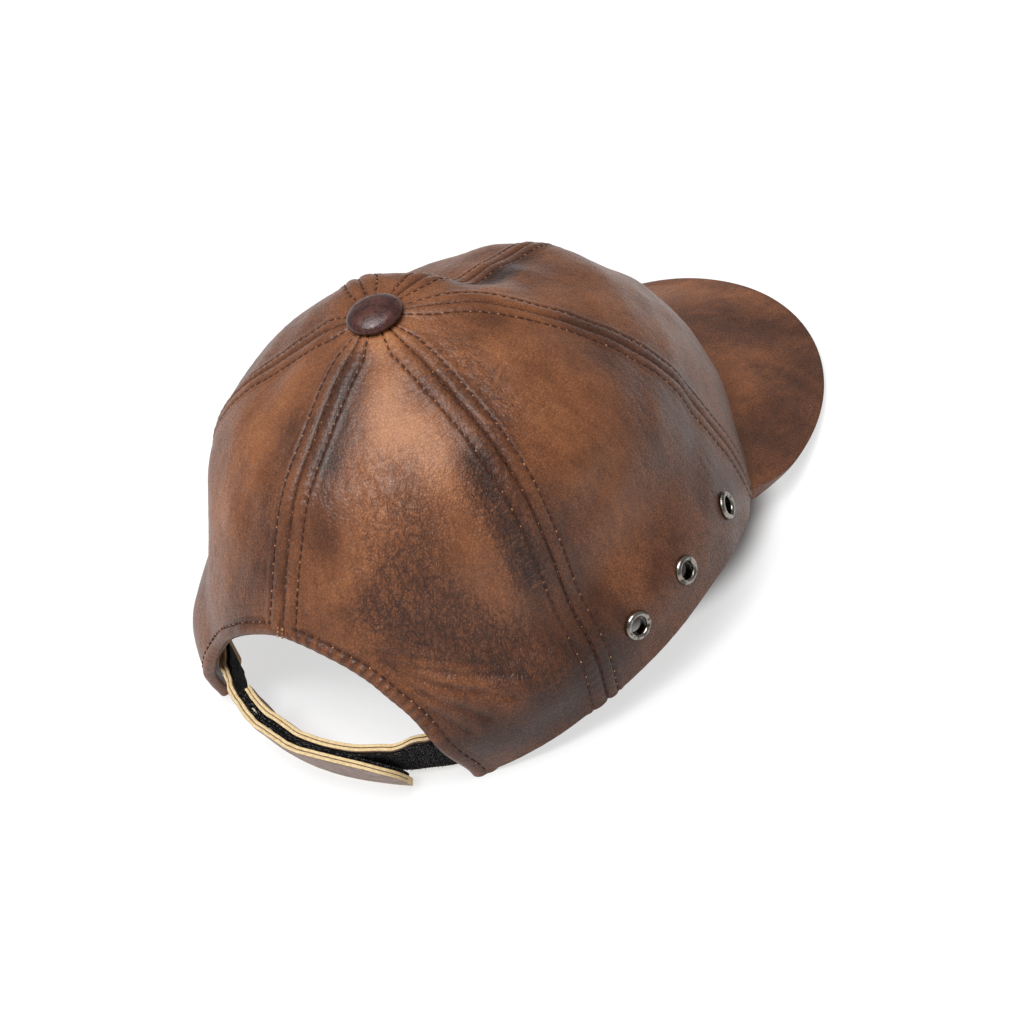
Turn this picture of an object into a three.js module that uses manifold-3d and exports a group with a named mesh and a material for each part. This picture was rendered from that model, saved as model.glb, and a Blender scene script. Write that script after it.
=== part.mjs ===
// Leather baseball cap: six sewn panels, a peak, a covered button, six eyelets
// and a two-part strap across the opening at the back.
// Millimetres, +Z up. The peak points towards -Y, the wearer's right side is -X,
// and the cap stands on z = 0 on its back corners, its strap and the sides of its peak.

import * as THREE from "three";
import { mergeVertices } from "three/addons/utils/BufferGeometryUtils.js";
import Module from "manifold-3d";

const wasm = await Module();
wasm.setup();

// Crown, measured at the rim and at the top under the button
const CROWN_LENGTH = 194;
const CROWN_WIDTH = 178;
const CROWN_HEIGHT = 115;
const TOP_SHIFT = 20;
const LEATHER = 1.8;
const FIT_GAP = 0.3;
const FLATTENED = 0.5;

// Panels and their sewn edges
const PANELS = 6;
const PANEL_TURN = 360 / PANELS;
const PANEL_SWELL = 1.2;
const SEAM_BAND = 5;
const SEAM_STEP = 1.2;
const SEAM_RAISE = 0.5;
const BAND_LIMIT = 0.25;
const TOP_HOLE_RADIUS = 3.4;
const NEAR_TOP = 0.06;
const NORMAL_STEP = 0.01;

// Opening at the back and the hem round it
const ARCH_HEIGHT = 50;
const ARCH_RIGHT = 46.3;
const ARCH_LEFT = 50;
const ARCH_ROUND_RIGHT = 2;
const ARCH_ROUND_LEFT = 1.7;
const HEM_WIDTH = 7;
const HEM_FOLD = 1.2;

// Peak
const PEAK_TURN = 2 * PANEL_TURN;
const PEAK_REACH = 126;
const PEAK_WIDTH = 162;
const PEAK_THICKNESS = 3.6;
const PEAK_EDGE_ROUND = 1.2;
const PEAK_EDGE_FLAT = 0.8;
const PEAK_EDGE_LIMIT = 0.3;
const PEAK_DROOP = 25.5;
const PEAK_SLOPE = 0.24;
const PEAK_SQUARENESS = 2.3;
const PEAK_WAIST = 30;

// Button
const BUTTON_DIAMETER = 17.5;
const BUTTON_HEIGHT = 4.6;
const BUTTON_EDGE = 1.3;
const BUTTON_TILT = 8;
const SHANK_DIAMETER = 4.4;
const SHANK_LENGTH = 4;

// Eyelets
const EYELET_DIAMETER = 9.2;
const EYELET_HOLE = 5;
const EYELET_METAL = 0.6;
const EYELET_DOME = 1.1;
const EYELET_BACK_DIAMETER = 8;
const EYELET_SEAT = 0.15;
const EYELET_BACK_SEAT = 0.9;
const EYELET_CUT = 14;

// Strap
const STRAP_WIDTH = 18;
const STRAP_LEATHER = 2.3;
const STRAP_STAND_OFF = 3;
const STRAP_LIFT = 0.5;
const STRAP_TIP = 12;
const TIP_END = 0.3;
const OUTER_START = -41;
const OUTER_END = 20.7;
const INNER_START = -18;
const INNER_END = 41;
const TAPE_START = -36;
const TAPE_END = 30;
const TAPE_MARGIN = 1;
const TAPE_WIDTH = 16;
const TAPE_THICKNESS = 0.9;

// Fineness of the faceted surfaces
const PANEL_ROWS = 17;
const PANEL_MIDDLE_COLUMNS = 7;
const PEAK_ROWS = 8;
const PEAK_COLUMNS = 36;
const STRAP_ROWS = 3;
const STRAP_COLUMNS = 26;
const ARCH_STEPS = 32;
const BUTTON_SIDES = 24;
const DOME_ANGLES = [60, 40, 20];
const EYELET_SIDES = 12;
const SLIVER = 0.02;

function table(columns, rows) {
  return rows.map((row) => Object.fromEntries(columns.map((name, i) => [name, row[i]])));
}

// Sections of the crown along each seam, an eighth of its length apart, from the
// rim to the button. out is a share of the rim's distance from the button and up
// a share of the way from the rim's height to the top.
const SECTION_COLUMNS = ["out", "up"];

const BACK_SEAM = table(SECTION_COLUMNS, [
  [1.0, 0.0],
  [1.1, 0.16],
  [1.05, 0.32],
  [0.95, 0.47],
  [0.82, 0.62],
  [0.67, 0.76],
  [0.47, 0.86],
  [0.24, 0.95],
  [0.0, 1.0],
]);

const REAR_SEAM = table(SECTION_COLUMNS, [
  [1.0, 0.0],
  [0.99, 0.17],
  [0.89, 0.33],
  [0.84, 0.5],
  [0.77, 0.66],
  [0.62, 0.8],
  [0.43, 0.89],
  [0.22, 0.96],
  [0.0, 1.0],
]);

const BROW_SEAM = table(SECTION_COLUMNS, [
  [1.0, 0.0],
  [0.96, 0.17],
  [0.88, 0.36],
  [0.8, 0.54],
  [0.68, 0.69],
  [0.53, 0.82],
  [0.37, 0.92],
  [0.19, 0.99],
  [0.0, 1.0],
]);

const FRONT_SEAM = table(SECTION_COLUMNS, [
  [1.0, 0.0],
  [1.04, 0.21],
  [0.96, 0.41],
  [0.83, 0.58],
  [0.7, 0.74],
  [0.52, 0.81],
  [0.36, 0.89],
  [0.18, 0.97],
  [0.0, 1.0],
]);

const SEAMS = [BACK_SEAM, REAR_SEAM, BROW_SEAM, FRONT_SEAM, BROW_SEAM, REAR_SEAM];

// Rise of the rim behind the peak, as a share of the crown's height, at even turns
// from the middle of the back to the last one before the peak
const RIM_TURN = 30;
const RIM_RISE = [0, 0, 0.1, 0.195];

// Folds and dents of the worn leather. Each runs between two places on the crown,
// given by turn and by share of the way up, with its half width and its rise as
// shares of the crown's height.
const FOLDS = table(
  ["name", "turn", "along", "endTurn", "endAlong", "width", "rise"],
  [
    ["pushed out left corner", -34, 0.0, -40, 0.06, 0.2, 0.052],
    ["dent in front of the button", 165, 0.74, 215, 0.7, 0.1, -0.03],
    ["hump beside the button", 172, 0.84, 182, 0.84, 0.07, 0.012],
    ["slack of the left front", 212, 0.6, 218, 0.66, 0.22, -0.016],
    ["ridge over the right front", 128, 0.8, 160, 0.66, 0.07, 0.014],
    ["crease from the arch", 24, 0.26, 44, 0.17, 0.07, 0.01],
    ["slack beside the arch", 30, 0.36, 48, 0.3, 0.12, -0.01],
  ],
);

// Places of the eyelets on each side panel: turn from the back and share of the way
// up from the rim
const EYELETS = table(
  ["turn", "along"],
  [
    [69.5, 0.11],
    [83.5, 0.105],
    [103, 0.105],
  ],
);

// Sections of the two straps by turn: lean is the outward lean of the upright
// face in degrees, off the distance outside the rim as a share of the stand-off
const STRAP_SECTION_COLUMNS = ["turn", "lean", "off"];

const OUTER_STRAP = table(STRAP_SECTION_COLUMNS, [
  [-42, 3, 0.1],
  [-34, 3, 0.5],
  [-27, 6, 0.9],
  [-18, 14, 1.0],
  [-8, 21, 1.0],
  [2, 26, 1.0],
  [12, 28, 1.0],
  [25, 29, 1.2],
]);

const INNER_STRAP = table(STRAP_SECTION_COLUMNS, [
  [-18, 14, 1.0],
  [-8, 21, 1.0],
  [2, 26, 1.0],
  [12, 27, 1.0],
  [19, 24, 0.9],
  [25, 16, 0.6],
  [31, 10, 0.35],
  [42, 8, 0.3],
]);

// A smooth curve through four evenly spaced values, between the second and the third
function smooth([a, b, c, d], t) {
  const bend = 2 * a - 5 * b + 4 * c - d;
  const twist = 3 * (b - c) + d - a;
  return b + (t * (c - a + t * (bend + t * twist))) / 2;
}

function wrap(index, count) {
  return ((index % count) + count) % count;
}

// One named share of a seam's table. Past the button the seam runs on down the
// far side, and before the rim it runs straight on.
function seamValue(rows, name, index) {
  const last = rows.length - 1;
  if (index < 0) return 2 * rows[0][name] - rows[1][name];
  if (index > last) return (name === "out" ? -1 : 1) * rows[2 * last - index][name];
  return rows[index][name];
}

function seamShare(rows, name, along) {
  const place = along * (rows.length - 1);
  const row = Math.min(Math.floor(place), rows.length - 2);
  const values = [-1, 0, 1, 2].map((step) => seamValue(rows, name, row + step));
  return smooth(values, place - row);
}

function crownShare(name, turn, along) {
  const place = wrap(turn, 360) / PANEL_TURN;
  const seam = Math.floor(place);
  const values = [-1, 0, 1, 2].map((step) => {
    return seamShare(SEAMS[wrap(seam + step, PANELS)], name, along);
  });
  return smooth(values, place - seam);
}

const radians = THREE.MathUtils.degToRad;
const UP = new THREE.Vector3(0, 0, 1);

function rimPlan(turn) {
  const angle = radians(turn);
  return new THREE.Vector2((-CROWN_WIDTH / 2) * Math.sin(angle), (CROWN_LENGTH / 2) * Math.cos(angle));
}

function rimOutward(turn) {
  const angle = radians(turn);
  const slope = new THREE.Vector2(-Math.sin(angle) / CROWN_WIDTH, Math.cos(angle) / CROWN_LENGTH);
  return slope.normalize();
}

// Upper face of the peak, which slopes down to the front and droops to the sides
const PEAK_ROOT = rimPlan(PEAK_TURN);
const PEAK_HALF = PEAK_WIDTH / 2;

function peakFall(x, y) {
  const forward = PEAK_ROOT.y - y;
  return -PEAK_SLOPE * forward - PEAK_DROOP * (x / PEAK_HALF) ** 2;
}

function peakNormal(x) {
  return new THREE.Vector3((2 * PEAK_DROOP * x) / PEAK_HALF ** 2, -PEAK_SLOPE, 1).normalize();
}

// Outline of the peak at an angle from 0 at its right root to 180 at its left root
function peakOutline(angle) {
  const across = Math.cos(radians(angle));
  const ahead = Math.sin(radians(angle));
  const power = 2 / PEAK_SQUARENESS;
  const forward = PEAK_REACH * Math.max(ahead, 0) ** power;
  const narrowing = (PEAK_HALF + PEAK_ROOT.x) * Math.max(1 - forward / PEAK_WAIST, 0) ** 2;
  const half = PEAK_HALF * Math.abs(across) ** power - narrowing;
  return new THREE.Vector2(-Math.sign(across) * Math.max(half, 0), PEAK_ROOT.y - forward);
}

// Height of the peak's root that lets its drooping sides rest on the floor
function peakRootHeight() {
  const edge = Array.from({ length: PEAK_COLUMNS + 1 }, (_, i) => peakOutline((180 * i) / PEAK_COLUMNS));
  const lowest = Math.min(...edge.map(({ x, y }) => peakFall(x, y) - PEAK_THICKNESS * peakNormal(x).z));
  return -lowest - FLATTENED;
}

const PEAK_HIGH = peakRootHeight();

function peakTop(x, y) {
  return PEAK_HIGH + peakFall(x, y);
}

// Height of the crown's lower edge: on the peak at the front, free behind it
function peakSeat(turn) {
  const { x, y } = rimPlan(turn);
  return peakTop(x, y) + FIT_GAP;
}

const FREE_RIM = RIM_RISE.map((share) => share * CROWN_HEIGHT - FLATTENED);
const RIM_HEIGHTS = [FREE_RIM[1], ...FREE_RIM, peakSeat(PEAK_TURN), peakSeat(PEAK_TURN + RIM_TURN)];

function rimHeight(turn, x, y) {
  const away = Math.abs(wrap(turn + 180, 360) - 180);
  if (away >= PEAK_TURN) return peakTop(x, y) + FIT_GAP;
  const place = away / RIM_TURN;
  const row = Math.floor(place);
  return smooth(RIM_HEIGHTS.slice(row, row + 4), place - row);
}

// The crown's form before swelling and folds
function crownBase(turn, along) {
  const rim = rimPlan(turn);
  const low = rimHeight(turn, rim.x, rim.y);
  const out = crownShare("out", turn, along);
  const up = crownShare("up", turn, along);
  return new THREE.Vector3(
    rim.x * out,
    TOP_SHIFT + (rim.y - TOP_SHIFT) * out,
    low + (CROWN_HEIGHT - low) * up,
  );
}

function crownNormal(turn, along) {
  const around = crownBase(turn + NORMAL_STEP, along).sub(crownBase(turn - NORMAL_STEP, along));
  const upward = crownBase(turn, along + NORMAL_STEP).sub(crownBase(turn, along));
  return around.cross(upward).normalize();
}

const FOLD_LINES = FOLDS.map((fold) => ({
  line: new THREE.Line3(crownBase(fold.turn, fold.along), crownBase(fold.endTurn, fold.endAlong)),
  width: fold.width * CROWN_HEIGHT,
  rise: fold.rise * CROWN_HEIGHT,
}));

function foldRise(point) {
  const nearest = new THREE.Vector3();
  return FOLD_LINES.reduce((total, { line, width, rise }) => {
    const distance = line.closestPointToPoint(point, true, nearest).distanceTo(point);
    return total + rise * Math.exp(-((distance / width) ** 2));
  }, 0);
}

// A point of the crown at a depth under its outer face
function crownPoint(turn, along, depth) {
  const point = crownBase(turn, along);
  const across = wrap(turn, PANEL_TURN) / PANEL_TURN;
  const swell = PANEL_SWELL * Math.sin(Math.PI * across) * (1 - along);
  const outward = swell + foldRise(point) - depth;
  point.addScaledVector(crownNormal(turn, along), outward);
  if (along === 0) point.z = rimHeight(turn, point.x, point.y);
  return point;
}

// Share of the way up at which the crown is a small radius from its top
function alongAtRadius(turn, radius) {
  const near = crownBase(turn, 1 - NEAR_TOP);
  return 1 - (NEAR_TOP * radius) / Math.hypot(near.x, near.y - TOP_SHIFT);
}

const PANEL_TOP = alongAtRadius(PANEL_TURN / 2, TOP_HOLE_RADIUS);

// Turns of a panel's columns in one row: sewn bands of even width at both edges,
// narrowed where the panel comes to its point, and even steps between them
function columnTurns(first, along) {
  const left = crownBase(first, along);
  const width = left.distanceTo(crownBase(first + PANEL_TURN, along));
  const share = Math.min(1, (BAND_LIMIT * width) / (SEAM_BAND + SEAM_STEP));
  const edge = [FIT_GAP / 2, SEAM_BAND * share, (SEAM_BAND + SEAM_STEP) * share];
  const inner = width - 2 * edge[2];
  const middle = Array.from({ length: PANEL_MIDDLE_COLUMNS }, (_, i) => {
    return edge[2] + (inner * (i + 1)) / (PANEL_MIDDLE_COLUMNS + 1);
  });
  const places = [...edge, ...middle, ...edge.map((place) => width - place).reverse()];
  return places.map((place) => first + (PANEL_TURN * place) / width);
}

function grid(rows, columns, place) {
  return Array.from({ length: rows + 1 }, (_, i) => {
    return Array.from({ length: columns + 1 }, (_, j) => place(i, j));
  });
}

// A closed skin between an outer and an inner grid of points
function skin(outer, inner) {
  const rows = outer.length;
  const columns = outer[0].length;
  const points = [...outer.flat(), ...inner.flat()];
  const index = [];
  const at = (side, i, j) => side * rows * columns + i * columns + j;
  const face = (a, b, c, d) => index.push(a, b, c, a, c, d);
  for (let i = 0; i < rows - 1; i++) {
    for (let j = 0; j < columns - 1; j++) {
      face(at(0, i, j), at(0, i, j + 1), at(0, i + 1, j + 1), at(0, i + 1, j));
      face(at(1, i, j), at(1, i + 1, j), at(1, i + 1, j + 1), at(1, i, j + 1));
    }
  }
  for (let i = 0; i < rows - 1; i++) {
    face(at(0, i, 0), at(0, i + 1, 0), at(1, i + 1, 0), at(1, i, 0));
    face(at(0, i + 1, columns - 1), at(0, i, columns - 1), at(1, i, columns - 1), at(1, i + 1, columns - 1));
  }
  for (let j = 0; j < columns - 1; j++) {
    face(at(0, 0, j + 1), at(0, 0, j), at(1, 0, j), at(1, 0, j + 1));
    face(at(0, rows - 1, j), at(0, rows - 1, j + 1), at(1, rows - 1, j + 1), at(1, rows - 1, j));
  }
  const geometry = new THREE.BufferGeometry().setFromPoints(points);
  geometry.setIndex(index);
  return geometry;
}

// Solids that are joined and cut
function solid(geometry) {
  const bare = geometry.clone();
  bare.deleteAttribute("normal");
  bare.deleteAttribute("uv");
  const merged = mergeVertices(bare);
  const vertProperties = Float32Array.from(merged.attributes.position.array);
  const triVerts = Uint32Array.from(merged.index.array);
  return new wasm.Manifold(new wasm.Mesh({ numProp: 3, vertProperties, triVerts }));
}

function geometryOf(body) {
  const { numProp, vertProperties, triVerts } = body.simplify(SLIVER).getMesh();
  const points = [];
  for (let i = 0; i < vertProperties.length; i += numProp) {
    points.push(new THREE.Vector3(...vertProperties.slice(i, i + 3)));
  }
  const geometry = new THREE.BufferGeometry().setFromPoints(points);
  geometry.setIndex(Array.from(triVerts));
  return geometry;
}

function standOnFloor(body) {
  return body.trimByPlane([0, 0, 1], 0);
}

// Half of the arch's outline at an angle from 0 at its foot to 90 at its top
function archOutline(half, round, grow, angle) {
  const across = Math.cos(radians(angle)) ** (2 / round);
  const up = Math.sin(radians(angle)) ** (2 / round);
  return new THREE.Vector2((half + grow) * across, (ARCH_HEIGHT + grow) * up);
}

// A bar of the arch's outline that passes through the back of the crown
function archBar(grow) {
  const below = -CROWN_HEIGHT;
  const steps = Array.from({ length: ARCH_STEPS + 1 }, (_, i) => (90 * i) / ARCH_STEPS);
  const left = steps.map((angle) => archOutline(ARCH_LEFT, ARCH_ROUND_LEFT, grow, angle));
  const right = steps.map((angle) => archOutline(ARCH_RIGHT, ARCH_ROUND_RIGHT, grow, angle));
  right.forEach((point) => point.setX(-point.x));
  const outline = [
    new THREE.Vector2(ARCH_LEFT + grow, below),
    ...left,
    ...right.reverse().slice(1),
    new THREE.Vector2(-ARCH_RIGHT - grow, below),
  ];
  const bar = new THREE.ExtrudeGeometry(new THREE.Shape(outline), {
    depth: CROWN_LENGTH,
    bevelEnabled: false,
  });
  bar.rotateX(Math.PI / 2);
  bar.translate(0, CROWN_LENGTH + TOP_SHIFT, 0);
  return solid(bar);
}

// The wall of a panel between two depths, thicker along its sewn edges
function panelSkin(first, outside, inside) {
  const rows = Array.from({ length: PANEL_ROWS + 1 }, (_, i) => (PANEL_TOP * i) / PANEL_ROWS);
  const turns = rows.map((along) => columnTurns(first, along));
  const last = turns[0].length - 1;
  const isBand = (j) => j < 2 || j > last - 2;
  const outer = grid(PANEL_ROWS, last, (i, j) => {
    return crownPoint(turns[i][j], rows[i], outside - (isBand(j) ? SEAM_RAISE : 0));
  });
  const inner = grid(PANEL_ROWS, last, (i, j) => crownPoint(turns[i][j], rows[i], inside));
  return solid(skin(outer, inner));
}

// A back panel, hemmed with a second layer round the arch
function backPanel(first) {
  const hem = panelSkin(first, LEATHER / 2, LEATHER + HEM_FOLD).intersect(archBar(HEM_WIDTH));
  return standOnFloor(panelSkin(first, 0, LEATHER).add(hem).subtract(archBar(0)));
}

// Frame of an eyelet: its origin on the crown's outer face, its axis outward
function eyeletPlace(turn, along) {
  const turned = new THREE.Quaternion().setFromUnitVectors(UP, crownNormal(turn, along));
  return new THREE.Matrix4().compose(crownPoint(turn, along, 0), turned, new THREE.Vector3(1, 1, 1));
}

function lathe(profile, sides) {
  const points = profile.map(([radius, height]) => new THREE.Vector2(radius, height));
  const geometry = new THREE.LatheGeometry(points, sides);
  geometry.rotateX(Math.PI / 2);
  return geometry;
}

function eyeletHole(turn, along) {
  const radius = EYELET_HOLE / 2 + EYELET_METAL + FIT_GAP;
  const bar = new THREE.CylinderGeometry(radius, radius, EYELET_CUT, EYELET_SIDES);
  bar.rotateX(Math.PI / 2);
  bar.applyMatrix4(eyeletPlace(turn, along));
  return solid(bar);
}

function sidePanel(first, side) {
  const panel = panelSkin(first, 0, LEATHER);
  return EYELETS.reduce((body, { turn, along }) => body.subtract(eyeletHole(side * turn, along)), panel);
}

function eyelet(turn, along) {
  const hole = EYELET_HOLE / 2;
  const neck = hole + EYELET_METAL;
  const rim = EYELET_DIAMETER / 2;
  const back = EYELET_BACK_DIAMETER / 2;
  const under = -LEATHER - EYELET_BACK_SEAT;
  const geometry = lathe(
    [
      [hole, under - EYELET_METAL],
      [back, under - EYELET_METAL],
      [back, under],
      [neck, under],
      [neck, EYELET_SEAT],
      [rim, EYELET_SEAT],
      [(hole + rim) / 2, EYELET_SEAT + EYELET_DOME],
      [hole, EYELET_SEAT + EYELET_METAL],
      [hole, under - EYELET_METAL],
    ],
    EYELET_SIDES,
  );
  geometry.applyMatrix4(eyeletPlace(turn, along));
  return geometry;
}

// The button leans back with the top of the crown and clears the panels under it
function buttonPlace() {
  const turned = new THREE.Quaternion().setFromEuler(new THREE.Euler(-radians(BUTTON_TILT), 0, 0));
  const top = new THREE.Vector3(0, TOP_SHIFT, CROWN_HEIGHT);
  return new THREE.Matrix4().compose(top, turned, new THREE.Vector3(1, 1, 1));
}

function buttonSeat(radius) {
  const toButton = buttonPlace().invert();
  const turns = Array.from({ length: BUTTON_SIDES }, (_, i) => (360 * i) / BUTTON_SIDES);
  const heights = turns.map((turn) => {
    return crownPoint(turn, alongAtRadius(turn, radius), -SEAM_RAISE).applyMatrix4(toButton).z;
  });
  return Math.max(...heights) + FIT_GAP;
}

function button() {
  const radius = BUTTON_DIAMETER / 2;
  const shank = SHANK_DIAMETER / 2;
  const middle = (radius + TOP_HOLE_RADIUS) / 2;
  const rim = buttonSeat(radius);
  const dome = DOME_ANGLES.map((angle) => [
    radius * Math.sin(radians(angle)),
    rim + BUTTON_EDGE + (BUTTON_HEIGHT - BUTTON_EDGE) * Math.cos(radians(angle)),
  ]);
  const geometry = lathe(
    [
      [0, -SHANK_LENGTH],
      [shank, -SHANK_LENGTH],
      [shank, buttonSeat(TOP_HOLE_RADIUS)],
      [middle, buttonSeat(middle)],
      [radius - BUTTON_EDGE / 2, rim],
      [radius, rim + BUTTON_EDGE],
      ...dome,
      [0, rim + BUTTON_HEIGHT],
    ],
    BUTTON_SIDES,
  );
  geometry.applyMatrix4(buttonPlace());
  return geometry;
}

// The peak: a stiff leather board whose root lies under the crown's front edge
function peak() {
  const place = (i, j, side) => {
    const turn = PEAK_TURN + ((360 - 2 * PEAK_TURN) * j) / PEAK_COLUMNS;
    const root = rimPlan(turn).addScaledVector(rimOutward(turn), -LEATHER);
    const edge = peakOutline((180 * j) / PEAK_COLUMNS);
    const reach = edge.distanceTo(root);
    const isEdge = i === PEAK_ROWS;
    const inset = Math.min(PEAK_EDGE_ROUND, PEAK_EDGE_LIMIT * reach);
    const share = isEdge ? 1 : ((reach - inset) / reach) * (i / (PEAK_ROWS - 1));
    const { x, y } = root.lerp(edge, share);
    const half = PEAK_THICKNESS / 2;
    const depth = half - side * (isEdge ? PEAK_EDGE_FLAT / 2 : half);
    return new THREE.Vector3(x, y, peakTop(x, y)).addScaledVector(peakNormal(x), -depth);
  };
  const upper = grid(PEAK_ROWS, PEAK_COLUMNS, (i, j) => place(i, j, 1));
  const lower = grid(PEAK_ROWS, PEAK_COLUMNS, (i, j) => place(i, j, -1));
  return standOnFloor(solid(skin(lower, upper)));
}

// Value of a strap's table at a turn
function strapValue(rows, name, turn) {
  const after = rows.findIndex((row) => row.turn >= turn);
  const next = rows[Math.max(after, 1)];
  const last = rows[Math.max(after, 1) - 1];
  const share = (turn - last.turn) / (next.turn - last.turn);
  return THREE.MathUtils.lerp(last[name], next[name], THREE.MathUtils.smoothstep(share, 0, 1));
}

// A layer of a strap between two turns. depth is how far its outer face lies under
// the outer strap's, low and high are heights across its width, and height scales
// them along its length.
function strapLayer(rows, { start, end, depth, thickness, low, high, height = () => 1 }) {
  const point = (i, j, under) => {
    const turn = THREE.MathUtils.lerp(start, end, j / STRAP_COLUMNS);
    const lean = radians(strapValue(rows, "lean", turn));
    const standOff = strapValue(rows, "off", turn) * STRAP_STAND_OFF;
    const across = THREE.MathUtils.lerp(low, high * height(turn), i / STRAP_ROWS);
    const out = standOff - under * Math.cos(lean) + across * Math.sin(lean);
    const plan = rimPlan(turn).addScaledVector(rimOutward(turn), out);
    return new THREE.Vector3(plan.x, plan.y, across * Math.cos(lean) + under * Math.sin(lean));
  };
  const outer = grid(STRAP_ROWS, STRAP_COLUMNS, (i, j) => point(i, j, depth));
  const inner = grid(STRAP_ROWS, STRAP_COLUMNS, (i, j) => point(i, j, depth + thickness));
  return standOnFloor(solid(skin(outer, inner)));
}

const TAPE_INSET = (STRAP_WIDTH - TAPE_WIDTH) / 2;
const TAPE_STEP = TAPE_THICKNESS + FIT_GAP;
const INNER_DEPTH = STRAP_LEATHER + FIT_GAP + 2 * TAPE_STEP;

// The free end of the outer strap is rounded off at its upper corner
function tipHeight(turn) {
  const left = radians(OUTER_END - turn) * (CROWN_WIDTH / 2);
  const share = 1 - Math.min(left / STRAP_TIP, 1);
  return TIP_END + (1 - TIP_END) * Math.sqrt(1 - share ** 2);
}

function outerStrap() {
  return strapLayer(OUTER_STRAP, {
    start: OUTER_START,
    end: OUTER_END,
    depth: 0,
    thickness: STRAP_LEATHER,
    low: -FLATTENED,
    high: STRAP_WIDTH,
    height: tipHeight,
  });
}

function outerTape() {
  return strapLayer(OUTER_STRAP, {
    start: TAPE_START,
    end: OUTER_END - TAPE_MARGIN,
    depth: STRAP_LEATHER + FIT_GAP,
    thickness: TAPE_THICKNESS,
    low: TAPE_INSET,
    high: STRAP_WIDTH - TAPE_INSET,
    height: tipHeight,
  });
}

function innerStrap() {
  return strapLayer(INNER_STRAP, {
    start: INNER_START,
    end: INNER_END,
    depth: INNER_DEPTH,
    thickness: STRAP_LEATHER,
    low: STRAP_LIFT,
    high: STRAP_LIFT + STRAP_WIDTH,
  });
}

function innerTape() {
  return strapLayer(INNER_STRAP, {
    start: INNER_START,
    end: TAPE_END,
    depth: INNER_DEPTH - TAPE_STEP,
    thickness: TAPE_THICKNESS,
    low: STRAP_LIFT + TAPE_INSET,
    high: STRAP_LIFT + STRAP_WIDTH - TAPE_INSET,
  });
}

const LEATHER_BROWN = { color: "#7b4a2c", roughness: 0.55, metalness: 0 };
const STRAP_BROWN = { color: "#6d4a38", roughness: 0.7, metalness: 0 };
const BUTTON_BROWN = { color: "#3c2418", roughness: 0.4, metalness: 0 };
const TAPE_BLACK = { color: "#111013", roughness: 0.95, metalness: 0 };
const GUNMETAL = { color: "#5c5852", roughness: 0.3, metalness: 1 };

const cap = new THREE.Group();

function addPart(name, shape, finish) {
  const geometry = shape.isBufferGeometry ? shape : geometryOf(shape);
  const mesh = new THREE.Mesh(geometry, new THREE.MeshStandardMaterial(finish));
  mesh.name = name;
  cap.add(mesh);
}

addPart("panel_back_right", backPanel(0), LEATHER_BROWN);
addPart("panel_side_right", sidePanel(PANEL_TURN, 1), LEATHER_BROWN);
addPart("panel_front_right", panelSkin(2 * PANEL_TURN, 0, LEATHER), LEATHER_BROWN);
addPart("panel_front_left", panelSkin(3 * PANEL_TURN, 0, LEATHER), LEATHER_BROWN);
addPart("panel_side_left", sidePanel(4 * PANEL_TURN, -1), LEATHER_BROWN);
addPart("panel_back_left", backPanel(5 * PANEL_TURN), LEATHER_BROWN);
addPart("peak", peak(), LEATHER_BROWN);
addPart("button", button(), BUTTON_BROWN);
for (const [side, sign] of [["right", 1], ["left", -1]]) {
  EYELETS.forEach(({ turn, along }, i) => {
    addPart(`eyelet_${side}_${i + 1}`, eyelet(sign * turn, along), GUNMETAL);
  });
}
addPart("strap_outer", outerStrap(), STRAP_BROWN);
addPart("strap_outer_tape", outerTape(), TAPE_BLACK);
addPart("strap_inner", innerStrap(), STRAP_BROWN);
addPart("strap_inner_tape", innerTape(), TAPE_BLACK);

// The origin is under the middle of the cap, on the floor
const middle = new THREE.Box3().setFromObject(cap).getCenter(new THREE.Vector3());
cap.position.set(-middle.x, -middle.y, 0);

export default cap;
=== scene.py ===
"""Looks of a worn brown leather baseball cap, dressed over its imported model.

All places are in the shared frame, in metres: +Z is up, the peak points towards -Y and
the wearer's right side is -X. A place on the crown is given by its turn, in degrees from
the middle of the back towards the wearer's right, and by its share of the way up from
the rim to the button.
"""

import logging
import math
from dataclasses import dataclass, field
from enum import Enum
from typing import Any, Callable, Sequence

import bpy
import numpy as np
from mathutils import Matrix, Vector

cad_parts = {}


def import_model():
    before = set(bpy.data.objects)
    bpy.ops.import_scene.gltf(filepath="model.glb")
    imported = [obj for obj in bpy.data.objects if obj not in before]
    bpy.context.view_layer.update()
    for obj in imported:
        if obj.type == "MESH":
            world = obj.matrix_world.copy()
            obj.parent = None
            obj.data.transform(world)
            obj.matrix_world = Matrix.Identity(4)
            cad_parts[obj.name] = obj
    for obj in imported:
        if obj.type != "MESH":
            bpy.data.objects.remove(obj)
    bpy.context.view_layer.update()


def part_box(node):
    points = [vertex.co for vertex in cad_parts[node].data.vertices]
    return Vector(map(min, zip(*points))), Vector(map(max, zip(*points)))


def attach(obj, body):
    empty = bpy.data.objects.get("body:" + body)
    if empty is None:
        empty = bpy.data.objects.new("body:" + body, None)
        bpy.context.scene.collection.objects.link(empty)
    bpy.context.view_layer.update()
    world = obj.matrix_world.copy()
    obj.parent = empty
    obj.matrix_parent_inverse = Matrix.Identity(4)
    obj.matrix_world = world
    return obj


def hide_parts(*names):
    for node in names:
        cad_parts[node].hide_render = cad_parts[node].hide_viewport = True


log = logging.getLogger("cap")

PANELS = 6
PANEL_TURN = 360 / PANELS
MM = 0.001
Colour = tuple[float, float, float]
Place = Callable[[np.ndarray, np.ndarray], np.ndarray]


# Curves and small sums


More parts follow.
